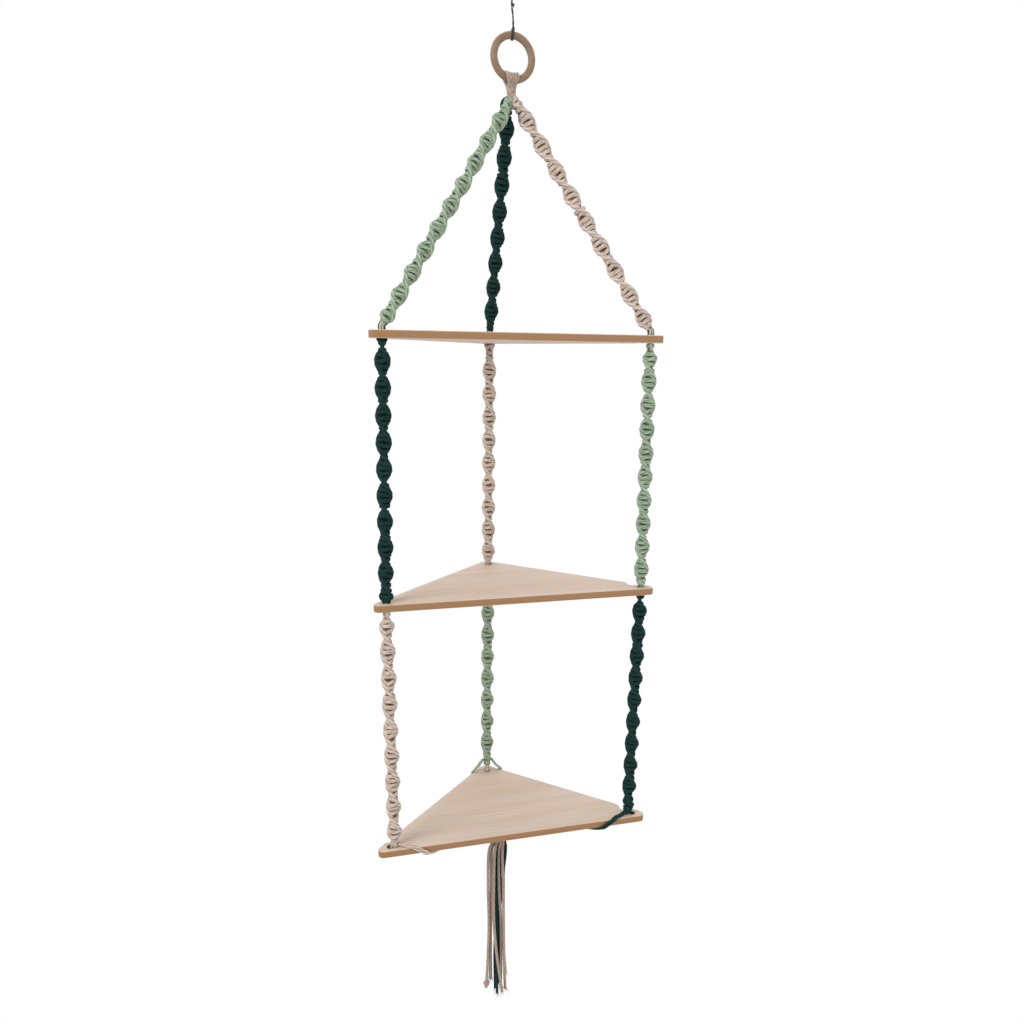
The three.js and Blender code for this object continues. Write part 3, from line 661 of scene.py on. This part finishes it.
def addLeaning(side, hole):
    name = f"top_{side}"
    slotName = f"{columns[name]['look']}_cord"
    leanEnd, way = leanTo(hole)
    start = branchRoot + way * (hang["branch"] - hang["early"])
    end = leanEnd - way * hang["lead"]
    crowded = side == "back"
    if crowded:
        start += Vector((hang["crowded"], 0, 0))
    facts = dict(columns[name], first=columns[name]["first"] + hang["early"])
    ends = narrowing["crowded" if crowded else "leaning"]
    piece = sinnetPiece(f"sinnet_{name}", start, end, facts, *ends, seed=len(name))
    dress(piece, "top_shelf", slotName, f"column_{name}")
    holeTop = Vector((hole.x, hole.y, boards["tops"]["top"]))
    guides = [end + way * hang["gap"], leanEnd, holeTop, holeTop + down * boards["thickness"]]
    piece = bundle(f"core_{name}", smoothRoute(guides, 14), sixCords, core["lean"], core["radius"])
    dress(piece, "top_shelf", slotName, f"cords_{name}")


def addHanging(level, above, side, hole):
    name = f"{level}_{side}"
    facts = columns[name]
    slotName = f"{facts['look']}_cord"
    body = f"{level}_shelf"
    seed = 10 + len(name) + ord(name[-1])
    pull = footPull[side] if level == "bottom" else 0
    tied = name == "bottom_back"
    neck = Vector((hole.x, hole.y, boards["tops"][above] - boards["thickness"] - hang["gap"]))
    start = neck + down * (2 * hang["neckHalf"] + hang["gap"])
    over = boards["tops"][level] + hang["gap"]
    end = Vector((hole.x + pull, hole.y, over + 2 * hang["footHalf"] + hang["gap"]))
    plain = hang["plain"] if tied else 0.0
    piece = sinnetPiece(f"sinnet_{name}", start, end, facts, *narrowing["hanging"], plain, seed=seed)
    dress(piece, f"column_{name}", slotName, f"column_{name}")

    knotFacts = dict(facts, first=facts["first"] + hang["turnToKnots"])
    knotEnd = start + Vector((0, 0, hang["knotClear"]))
    knotEnds = dict(lead=hang["knotLead"], seed=seed + 50)
    piece = sinnetPiece(f"firstKnots_{name}", neck, knotEnd, knotFacts, *narrowing["knots"], **knotEnds)
    dress(piece, f"neck_{name}", slotName, f"neck_{name}")

    footTop = end + down * hang["gap"]
    footEnd = footTop + down * (2 * hang["footHalf"] - hang["tailsShort"])
    if tied:
        route = [footTop.lerp(footEnd, i / 6) for i in range(7)]
        piece = bundle(f"tails_{name}", route, ["beige"] * 5, core["tails"], core["radius"])
    else:
        turned = (end - start).length + hang["gap"] - facts["first"]
        ends = narrowing[f"{level}Tails"]
        footFacts = dict(facts, first=-turned)
        tailEnds = dict(lead=hang["tailsLead"], seed=seed + 90)
        piece = sinnetPiece(f"tails_{name}", footTop, footEnd, footFacts, *ends, **tailEnds)
    dress(piece, f"foot_{name}" if side == "back" else body, slotName, f"foot_{name}")

    top = Vector((hole.x, hole.y, boards["tops"][level]))
    if pull:
        guides = [Vector((pull * share, 0, rise)) for share, rise in coreDip]
        route = smoothRoute([top + guide for guide in guides], 12)
        colours, reach = [facts["look"]] * 3, core["pulled"]
    else:
        route = [top + down * (boards["thickness"] * i / 6) for i in range(7)]
        colours, reach = ["beige"] * 6 if tied else sixCords, core["upright"]
    piece = bundle(f"core_{name}", route, colours, reach, core["inHole"])
    dress(piece, body, slotName, f"cords_{name}")


for side, hole in holes.items():
    addLeaning(side, hole)
for level, above in (("middle", "top"), ("bottom", "middle")):
    for side, hole in holes.items():
        addHanging(level, above, side, hole)
print("columns knotted")


# Boards: a triangle with round tips, a notch beside each front tip, round edges and three holes
def boardOutline():
    half = boards["width"] / 2
    left, right = Vector((-half, boards["front"], 0)), Vector((half, boards["front"], 0))
    back = Vector((0, boards["back"], 0))
    notch = boards["notch"]

    def tip(before, at, after, radius, steps=10):
        toA, toB = (before - at).normalized(), (after - at).normalized()
        half = toA.angle(toB) / 2
        centre = at + (toA + toB).normalized() * (radius / math.sin(half))
        spoke = at + toA * (radius / math.tan(half)) - centre
        turn = math.pi - 2 * half
        return [centre + Matrix.Rotation(turn * i / steps, 3, "Z") @ spoke for i in range(steps + 1)]

    def notched(side, steps=20):
        start = right if side > 0 else left
        way = (back - start).normalized()
        inward = Vector((-side * way.y, side * way.x, 0))
        inward = inward if inward.y < 0 else -inward
        shifts = [notch["reach"] * (2 * i / steps - 1) for i in range(steps + 1)]
        depths = [notch["depth"] * math.cos(math.pi * s / (2 * notch["reach"])) ** 2 for s in shifts]
        return [start + way * (notch["place"] + s) + inward * d for s, d in zip(shifts, depths)]

    return [
        *tip(left, right, back, boards["tipRadius"]),
        *notched(1),
        *tip(right, back, left, boards["backRadius"]),
        *reversed(notched(-1)),
        *tip(back, left, right, boards["tipRadius"]),
    ]


def addBoard(level):
    top = boards["tops"][level]
    shape = bmesh.new()
    outline = [shape.verts.new(point + Vector((0, 0, top))) for point in boardOutline()]
    face = shape.faces.new(outline)
    grown = bmesh.ops.extrude_face_region(shape, geom=[face])
    moved = [item for item in grown["geom"] if isinstance(item, bmesh.types.BMVert)]
    bmesh.ops.translate(shape, verts=moved, vec=(0, 0, -boards["thickness"]))
    bmesh.ops.recalc_face_normals(shape, faces=shape.faces)
    rims = [edge for edge in shape.edges if abs(edge.verts[0].co.z - edge.verts[1].co.z) < 1e-6]
    bmesh.ops.bevel(
        shape, geom=rims, offset=boards["edgeRound"], segments=4, profile=0.5, affect="EDGES", material=-1
    )
    board = linked(f"shelf_{level}", meshOf(f"shelf_{level}", shape, smooth=True))
    drill(board, top)
    board.data.materials.append(boardWood)
    dress(board, "top_shelf" if level == "top" else f"{level}_shelf", "board_wood", f"board_{level}")


def drill(board, top):
    tools = bmesh.new()
    for hole in holes.values():
        place = Matrix.Translation(hole + Vector((0, 0, top - boards["thickness"] / 2)))
        bmesh.ops.create_cone(
            tools,
            cap_ends=True,
            segments=32,
            radius1=boards["holeRadius"],
            radius2=boards["holeRadius"],
            depth=boards["thickness"] * 2,
            matrix=place,
        )
    bits = meshOf("bits", tools)
    drillBits = linked("bits", bits)
    cut = board.modifiers.new("holes", "BOOLEAN")
    cut.operation = "DIFFERENCE"
    cut.solver = "EXACT"
    cut.object = drillBits
    bpy.context.view_layer.update()
    cutMesh = bpy.data.meshes.new_from_object(board.evaluated_get(bpy.context.evaluated_depsgraph_get()))
    board.modifiers.clear()
    old = board.data
    board.data = cutMesh
    cutMesh.set_sharp_from_angle(angle=crease)
    bpy.data.meshes.remove(old)
    bpy.data.objects.remove(drillBits)
    bpy.data.meshes.remove(bits)


for level in boards["tops"]:
    addBoard(level)
print("boards cut")


# Wooden ring, upright, its face turned a little away from the front
ringFacts = {
    "centre": Vector((0, 0, -0.115)),
    "radius": 0.0255,
    "bar": 0.0045,
    "turn": math.radians(8),
}
along = Matrix.Rotation(ringFacts["turn"], 3, "Z") @ Vector((1, 0, 0))
across = Matrix.Rotation(ringFacts["turn"], 3, "Z") @ Vector((0, 1, 0))


def addRing():
    shape = bmesh.new()
    rod = Matrix.Translation(ringFacts["centre"] + along * ringFacts["radius"])
    lie = Matrix.Rotation(ringFacts["turn"], 4, "Z")
    section = bmesh.ops.create_circle(shape, segments=28, radius=ringFacts["bar"], matrix=rod @ lie)
    bmesh.ops.spin(
        shape,
        geom=section["verts"] + shape.edges[:],
        cent=ringFacts["centre"],
        axis=across,
        angle=2 * math.pi,
        steps=72,
        use_merge=True,
    )
    bmesh.ops.recalc_face_normals(shape, faces=shape.faces)
    ring = linked("woodRing", meshOf("woodRing", shape, smooth=True))
    ring.data.materials.append(ringWood)
    dress(ring, "ring", "ring_wood", "ring")


addRing()
print("ring turned")


# Cords folded over the ring, the neck they form and the cord wound round it
fold = {
    "count": 5,
    "reach": 0.0064,
    "spacing": 0.0038,
    "shift": -0.0022,
    "leave": math.radians(118),
    "narrow": 0.34,
    "legs": ((-0.0090, 0.56, 0.95), (-0.0150, 0.42, 0.8), (-0.0240, 0.34, 0.2)),
    "strand": 0.0019,
    "branch": 0.0016,
    "roots": ((0.8, 0.0100), (0.4, 0.0030)),
    "close": 0.8,
    "along": (0.004, 0.001),
    "wrap": {"aside": 0.8, "rise": 0.0080, "shape": (0.0043, 0.0021, 3.8), "strand": 0.0013},
    "loop": (
        (-1, 4, -157.5),
        (-4, 5, -159.5),
        (-8.8, 5, -162),
        (-12.2, 5, -166.5),
        (-12.6, 5, -172),
        (-9.5, 5, -177),
        (-5, 6, -180),
    ),
}


def addFold():
    ringBottom = ringFacts["centre"].z - ringFacts["radius"]
    parts = []
    for number in range(fold["count"]):
        shift = (number - 2) * fold["spacing"]
        rise = ringFacts["radius"] - math.sqrt(ringFacts["radius"] ** 2 - shift**2)
        guides = []
        for side in (1, -1):
            leg = []
            for i in range(9):
                angle = math.pi / 2 - fold["leave"] * i / 8
                narrow = 1 - fold["narrow"] * (i / 8) ** 3
                out = across * side * fold["reach"] * math.cos(angle)
                height = ringBottom + rise * (1 - i / 8) + fold["reach"] * math.sin(angle)
                leg.append(out + along * (shift * narrow + fold["shift"]) + Vector((0, 0, height)))
            for drop, close, aside in fold["legs"]:
                sideways = along * (shift * close + fold["shift"] * aside)
                leg.append(sideways + across * side * fold["strand"] + Vector((0, 0, ringBottom + drop)))
            guides += reversed(leg) if side == 1 else leg[1:]
        parts.append((sweep(smoothRoute(guides, 60), fold["strand"], 10), shadedBeige))
    for hole in holes.values():
        way = leanTo(hole)[1]
        u, v = frameOf(way)
        for number in range(3):
            angle = 2 * math.pi * number / 3 + 0.5
            lay = (u * math.cos(angle) + v * math.sin(angle)) * fold["branch"]
            x, y = lay.x * fold["close"], lay.y * fold["close"]
            guides = [
                Vector((x + fold["shift"] * aside, y, branchRoot.z + rise)) for aside, rise in fold["roots"]
            ]
            near, over = fold["along"]
            for reach in (near, hang["branch"] - hang["early"] + over):
                guides.append(branchRoot + way * reach + lay)
            parts.append((sweep(smoothRoute(guides, 16), fold["branch"], 10), shadedBeige))
    guides = [Vector(spot) / 1000 for spot in fold["loop"]]
    parts.append((sweep(smoothRoute(guides, 24), fold["strand"], 10), forestCord))
    piece = joinPiece("foldedCords", parts)
    dress(piece, "top_shelf", "beige_cord", "ring_strands")
    wrap = fold["wrap"]
    route = wound(branchRoot + Vector((fold["shift"] * wrap["aside"], 0, wrap["rise"])), *wrap["shape"])
    piece = joinPiece("neckWrap", [(sweep(route, wrap["strand"], 12), shadedBeige)])
    dress(piece, "top_shelf", "beige_cord", "gathering_wrap")


# A cord wound round an upright neck, its two ends tucked in
def wound(centre, reach, pitch, turns, tuck=0.3, tuckSteps=10):
    steps = round(turns * 28)
    route = []
    for i in range(steps + 1):
        angle = 2 * math.pi * turns * i / steps
        near = min(i, steps - i) / tuckSteps
        close = reach * (1 - tuck * (1 - min(near, 1)) ** 2)
        height = pitch * turns * (0.5 - i / steps)
        route.append(centre + Vector((close * math.cos(angle), close * math.sin(angle), height)))
    return route


addFold()
print("fold and wrap made")


# Hanger: a fine twisted cord, doubled, round the hook and the ring
hanger = {
    "strand": 0.00082,
    "offset": 0.00044,
    "lay": 0.018,
    "saddle": -0.042,
    "eye": 0.00384,
    "eyeLay": 0.00055,
    "eyeSink": 0.0004,
    "eyeTurn": (-84, 348),
    "eyeTail": 0.001,
    "overEye": 0.0006,
    "join": -0.0701,
    "end": -0.0815,
    "bow": {"reach": -0.0022, "centre": -0.054, "spread": 0.012},
    "knot": {"height": -0.0555, "size": (0.0008, 0.0022), "strand": 0.0006},
    "loopKnot": {"height": -0.0811, "size": (0.0010, 0.0017, 0.3), "strand": 0.0007},
    "loop": {"strand": 0.0008, "lay": 0.0009, "peak": 0.0022, "lean": 0.0026, "points": 45},
}


def twisted(top, bottom, lead=0.0):
    pair = []
    bow = hanger["bow"]
    steps = round(abs(top - bottom) / 0.0006)
    for half in (0, 1):
        route = []
        for i in range(steps + 1):
            height = top + (bottom - top) * i / steps
            angle = math.pi * half + 2 * math.pi * (top - height) / hanger["lay"] + lead
            bend = bow["reach"] * math.exp(-(((height - bow["centre"]) / bow["spread"]) ** 2))
            x = hanger["offset"] * math.cos(angle) + bend
            route.append(Vector((x, hanger["offset"] * math.sin(angle), height)))
        pair.append(route)
    return pair


def smallKnot(facts):
    spot = Vector((0, 0, facts["height"]))
    return sweep(overhand(spot, *facts["size"]), facts["strand"], 8), darkCord


def addHanger():
    parts = []
    for lay in (-hanger["eyeLay"], hanger["eyeLay"]):
        eye = [Vector((0, lay, hanger["saddle"] - hanger["eye"] - hanger["eyeTail"]))]
        first, sweptBy = hanger["eyeTurn"]
        reach = hanger["eye"] - hanger["eyeSink"]
        for i in range(41):
            angle = math.radians(first + sweptBy * i / 40)
            spot = Vector((reach * math.cos(angle), lay, reach * math.sin(angle)))
            eye.append(spot + Vector((0, 0, hanger["saddle"])))
        parts.append((sweep(smoothRoute(eye, 50), hanger["strand"], 8), darkCord))
    for route in twisted(hanger["saddle"] - hanger["eye"] + hanger["overEye"], hanger["join"]):
        parts.append((sweep(route, hanger["strand"], 8), darkCord))
    parts.append(smallKnot(hanger["knot"]))
    dress(joinPiece("hangerCord", parts), "hanger_cord", "dark_cord", "hanger_cord")


def addLoop():
    parts = []
    for route in twisted(hanger["join"], hanger["end"], 0.9):
        parts.append((sweep(route, hanger["strand"], 8), darkCord))
    parts.append(smallKnot(hanger["loopKnot"]))
    barTop = ringFacts["centre"] + Vector((0, 0, ringFacts["radius"]))
    loop = hanger["loop"]
    for side in (-1, 1):
        route = []
        for i in range(loop["points"]):
            angle = math.pi / 2 + 2 * math.pi * i / (loop["points"] - 1)
            high = max(math.sin(angle), 0)
            reach = ringFacts["bar"] + loop["lay"] + loop["peak"] * high**6
            shift = side * loop["lay"] - loop["lean"] * (0.5 - 0.5 * math.cos(angle)) * (1 - high**4)
            spot = across * reach * math.cos(angle) + Vector((0, 0, reach * math.sin(angle)))
            route.append(barTop + along * shift + spot)
        parts.append((sweep(route, loop["strand"], 8), darkCord))
    dress(joinPiece("hangerLoop", parts), "hanger_loop", "dark_cord", "hanger_loop")


addHanger()
addLoop()
print("hanger tied")


# Ceiling hook: plate with two screws, shank and open hook
hook = {
    "plateRadius": 0.020,
    "plateThickness": 0.003,
    "plateRound": 0.0012,
    "screwOffset": 0.013,
    "wire": 0.0025,
    "tip": (0.62, 8),
    "route": (
        (0, -2),
        (0, -11),
        (5.5, -18.5),
        (9.6, -26),
        (9.8, -33),
        (6.6, -39.4),
        (0, -42),
        (-6.6, -39.4),
        (-9.8, -33),
        (-11, -27.5),
    ),
    "screw": {"radius": 0.0038, "flatness": 0.45, "cross": 0.0005, "depth": 0.0006, "face": 0.0012},
}


def addHook():
    shape = bmesh.new()
    bmesh.ops.create_cone(
        shape,
        cap_ends=True,
        segments=64,
        radius1=hook["plateRadius"],
        radius2=hook["plateRadius"],
        depth=hook["plateThickness"],
        matrix=Matrix.Translation((0, 0, -hook["plateThickness"] / 2)),
    )
    low = -hook["plateThickness"]
    rim = [edge for edge in shape.edges if all(abs(v.co.z - low) < 1e-6 for v in edge.verts)]
    bmesh.ops.bevel(
        shape, geom=rim, offset=hook["plateRound"], segments=3, profile=0.5, affect="EDGES", material=-1
    )
    for side in (-1, 1):
        addScrew(shape, side * hook["screwOffset"])
    plate = meshOf("plate", shape)
    guides = [Vector((0, y / 1000, z / 1000)) for y, z in hook["route"]]
    narrowest, growth = hook["tip"]
    wire = sweep(smoothRoute(guides, 70), hook["wire"], 20, lambda t: min(1, narrowest + growth * (1 - t)))
    piece = joinPiece("hook", [(plate, zincSteel), (wire, zincSteel)])
    piece.data.set_sharp_from_angle(angle=crease)
    dress(piece, "ceiling_hook", "hook_steel", "ceiling_hook")


# Round screw head with a cross cut into it
def addScrew(shape, x):
    screw = hook["screw"]
    flat = Matrix.Diagonal((1, 1, screw["flatness"], 1))
    head = bmesh.ops.create_uvsphere(
        shape,
        u_segments=24,
        v_segments=12,
        radius=screw["radius"],
        matrix=Matrix.Translation((x, 0, -hook["plateThickness"])) @ flat,
    )
    for v in head["verts"]:
        low = v.co.z < -hook["plateThickness"] - screw["face"]
        if low and min(abs(v.co.x - x), abs(v.co.y)) < screw["cross"]:
            v.co.z += screw["depth"]


addHook()
print("hook made")


# Straps: pairs of working cords that go over the edges of the bottom board to the gather
strap = {
    "lift": 0.0018,
    "half": 0.0016,
    "gather": Vector((-0.010, 0, 0)),
    "dip": 0.0035,
    "ends": (0.058, 0.040, 0.0062),
}
strapRoutes = {
    "front": {
        "lead": ((163, -60.2, 5.0), (158, -61.4, 3.0), (153.5, -63.2, 2.0)),
        "over": (146.5, -68),
        "under": (119, -68),
        "out": (0, -1),
        "faces": ((0, 0, 1), (0, 0, 1), (0, 0, 1)),
    },
    "side": {
        "lead": ((167.3, -54.0, 5.4), (167.3, -50.8, 2.8)),
        "over": (168.9, -46.6),
        "under": (167.4, -46.4),
        "out": (0, 1),
        "faces": ((0, 0.2, 1), (0, 0.2, 1)),
    },
    "back": {
        "lead": ((5.8, 114, 20.5), (8.6, 114, 17.6), (14.6, 114.6, 9.0)),
        "over": (21.8, 115.5),
        "under": (20.4, 117),
        "out": (0.7175, 0.6966),
        "faces": ((0.77, 0, 0.64), (0.77, 0, 0.64), (0.77, 0, 0.64)),
    },
}


# Share of the crossing, distance out of the edge, height and facing, round an edge
def edgeStations():
    lift, edge, deep = strap["lift"], boards["edgeRound"], boards["thickness"]
    reach = (edge + lift) * math.sqrt(0.5)
    return [
        (0, -edge, lift, (0.25, 1)),
        (0.16, reach - edge, reach - edge, (1, 1)),
        (0.32, lift, -edge, (1, 0)),
        (0.68, lift, edge - deep, (1, 0)),
        (0.84, reach - edge, edge - deep - reach, (1, -1)),
        (1, -1.5 * edge, -deep - lift, (0, -1)),
    ]


def strapRoute(kind, side, low):
    facts = strapRoutes[kind]
    top = boards["tops"]["bottom"]
    stops = []
    for (x, y, z), (nx, ny, nz) in zip(facts["lead"], facts["faces"]):
        stops.append((Vector((side * x / 1000, y / 1000, top + z / 1000)), Vector((side * nx, ny, nz))))
    over, under = Vector((*facts["over"], 0)) / 1000, Vector((*facts["under"], 0)) / 1000
    outward = Vector((*facts["out"], 0))
    stations = edgeStations()[1:] if kind == "back" else edgeStations()
    for share, out, height, (level, rise) in stations:
        plan = over.lerp(under, share) + outward * out
        facing = Vector((side * outward.x * level, outward.y * level, rise))
        stops.append((Vector((side * plan.x, plan.y, top + height)), facing))
    centre = Vector((strap["gather"].x, 0, top - boards["thickness"] - strap["lift"]))
    leave = stops[-1][0] - centre
    leave.z = 0
    leave.normalize()
    dip = strap["dip"] if low else 0
    for reach, drop in zip(strap["ends"], (0, dip, dip)):
        stops.append((centre + leave * reach + down * drop, Vector((0, 0, -1))))
    return stops


def addStrap(kind, side, low, colour):
    stops = strapRoute(kind, side, low)
    parts = []
    for lay in (-1, 1):
        guides = []
        for i, (point, facing) in enumerate(stops):
            way = (stops[min(i + 1, len(stops) - 1)][0] - stops[max(i - 1, 0)][0]).normalized()
            guides.append(point + facing.normalized().cross(way).normalized() * (lay * strap["half"]))
        parts.append((sweep(smoothRoute(guides, 90), strap["half"], 10), cordLooks[colour]))
    name = f"strap_{kind}_{'right' if side > 0 else 'left'}"
    dress(joinPiece(f"pair_{name[6:]}", parts), "bottom_shelf", f"{colour}_cord", name)


for kind, side, low in (
    ("front", -1, False),
    ("side", -1, True),
    ("front", 1, False),
    ("side", 1, True),
    ("back", -1, True),
    ("back", 1, False),
):
    corner = "back" if kind == "back" else ("right" if side > 0 else "left")
    addStrap(kind, side, low, columns[f"bottom_{corner}"]["look"])
print("straps laid")


# Gather under the bottom board, and the tie below it with the winding that holds the tassel
gather = {
    "knot": {"drop": 0.0146, "reach": 0.0056, "strand": 0.0016},
    "wrap": {"drop": 0.0323, "reach": 0.0056, "strand": 0.0015},
    "pitch": 0.0032,
    "turns": 2.4,
    "colours": ("beige", "mint", "forest", "beige", "mint", "forest", "beige"),
    "cords": ((0.0030, 0.0108), (0.0030, 0.0185), (0.0026, 0.0260)),
    "rings": ((9, 0.0031, 0.0050), (3, 0.0011, 0.0018)),
    "tieDrops": (0.0268, 0.0372, 0.0419, 0.0462),
    "tieStrand": 0.00125,
}


def winding(facts, centre):
    route = wound(centre + down * facts["drop"], facts["reach"], gather["pitch"], gather["turns"])
    return sweep(route, facts["strand"], 12), beigeCord


def addGather():
    centre = Vector((strap["gather"].x, 0, boards["tops"]["bottom"]))
    parts = [winding(gather["knot"], centre)]
    for number, colour in enumerate(gather["colours"]):
        angle = 2 * math.pi * number / 6
        spread = 0 if number == 6 else 1
        lay = Vector((math.cos(angle), math.sin(angle), 0)) * spread
        guides = [centre + lay * reach + down * drop for reach, drop in gather["cords"]]
        parts.append((sweep(smoothRoute(guides, 10), gather["knot"]["strand"], 10), cordLooks[colour]))
    dress(joinPiece("gatherKnot", parts), "bottom_shelf", "beige_cord", "strap_gather")


def addTie():
    centre = Vector((strap["gather"].x, 0, boards["tops"]["bottom"]))
    parts = []
    number = 0
    for count, reach, swell in gather["rings"]:
        for _ in range(count):
            angle = 2 * math.pi * number / count
            lay = Vector((math.cos(angle), math.sin(angle), 0))
            reaches = (reach, reach, swell, swell * 0.8)
            guides = [centre + lay * out + down * drop for out, drop in zip(reaches, gather["tieDrops"])]
            colour = ("beige", "forest", "mint")[number % 3]
            parts.append((sweep(smoothRoute(guides, 14), gather["tieStrand"], 8), cordLooks[colour]))
            number += 1
    dress(joinPiece("tasselNeck", parts), "tassel_tie", "beige_cord", "tassel_tie")
    wrap = joinPiece("tasselWrap", [winding(gather["wrap"], centre)])
    dress(wrap, "tassel_tie", "beige_cord", "tassel_wrap")


addGather()
addTie()
print("gather wound")


# Floor, white surroundings and soft studio light
def addStage():
    shape = bmesh.new()
    low = Matrix.Translation((0, 0, -2.1))
    bmesh.ops.create_grid(shape, x_segments=1, y_segments=1, size=9, matrix=low)
    floor = linked("floor", meshOf("floor", shape))
    look = Look("paleFloor", Base_Color=shade(250, 250, 250), Roughness=0.9)
    seen = seenRays(look)
    glow = look.node("ShaderNodeEmission", sockets={"Color": (1, 1, 1, 1), "Strength": 1.0})
    bare = Value(look, look.shader.outputs[0])
    spot = look.node("ShaderNodeTexCoord", output="Object")
    reach = look.node("ShaderNodeVectorMath", {"operation": "LENGTH"}, {0: spot}, output=1)
    far = look.ramp(reach * 0.25, (0.2, 0.86), (0.6, 1.0))
    blended = look.node("ShaderNodeMixShader", sockets={0: seen * far, 1: bare, 2: glow})
    look.tree.links.new(blended.socket, look.tree.nodes["Material Output"].inputs["Surface"])
    floor.data.materials.append(look.material)


def seenRays(look):
    rays = look.tree.nodes.new("ShaderNodeLightPath")
    kinds = ("Is Camera Ray", "Is Glossy Ray", "Is Transmission Ray")
    camera, glossy, through = (Value(look, rays.outputs[kind]) for kind in kinds)
    return camera.math("MAXIMUM", camera.math("MAXIMUM", camera, glossy), through)


def addWorld(strength):
    world = bpy.data.worlds.new("studio")
    scene.world = world
    world.use_nodes = True
    air = Look.__new__(Look)
    air.tree = world.node_tree
    for node in list(air.tree.nodes):
        air.tree.nodes.remove(node)
    seen = seenRays(air)
    soft = air.node("ShaderNodeBackground", sockets={"Color": (1, 1, 1, 1), "Strength": strength})
    white = air.node("ShaderNodeBackground", sockets={"Color": (1, 1, 1, 1), "Strength": 1.0})
    both = air.node("ShaderNodeMixShader", sockets={0: seen, 1: soft, 2: white})
    out = air.tree.nodes.new("ShaderNodeOutputWorld")
    air.tree.links.new(both.socket, out.inputs["Surface"])


lamps = {
    "key": {"place": (-2.1, -1.3, 0.9), "size": 1.3, "power": 46},
    "fill": {"place": (1.9, -1.6, -0.2), "size": 2.0, "power": 16},
    "top": {"place": (0.2, 0.6, 1.6), "size": 1.6, "power": 16},
}


def addLamp(name, facts):
    light = bpy.data.lights.new(name, "AREA")
    light.shape = "SQUARE"
    light.size = facts["size"]
    light.energy = facts["power"]
    lamp = linked(name, light)
    place = Vector(facts["place"])
    aim = (Vector((0, 0, -0.75)) - place).to_track_quat("-Z", "Y").to_matrix().to_4x4()
    lamp.matrix_world = Matrix.Translation(place) @ aim


addStage()
addWorld(strength=0.66)
for name, facts in lamps.items():
    addLamp(name, facts)
scene.view_settings.view_transform = "Standard"
print("stage lit")
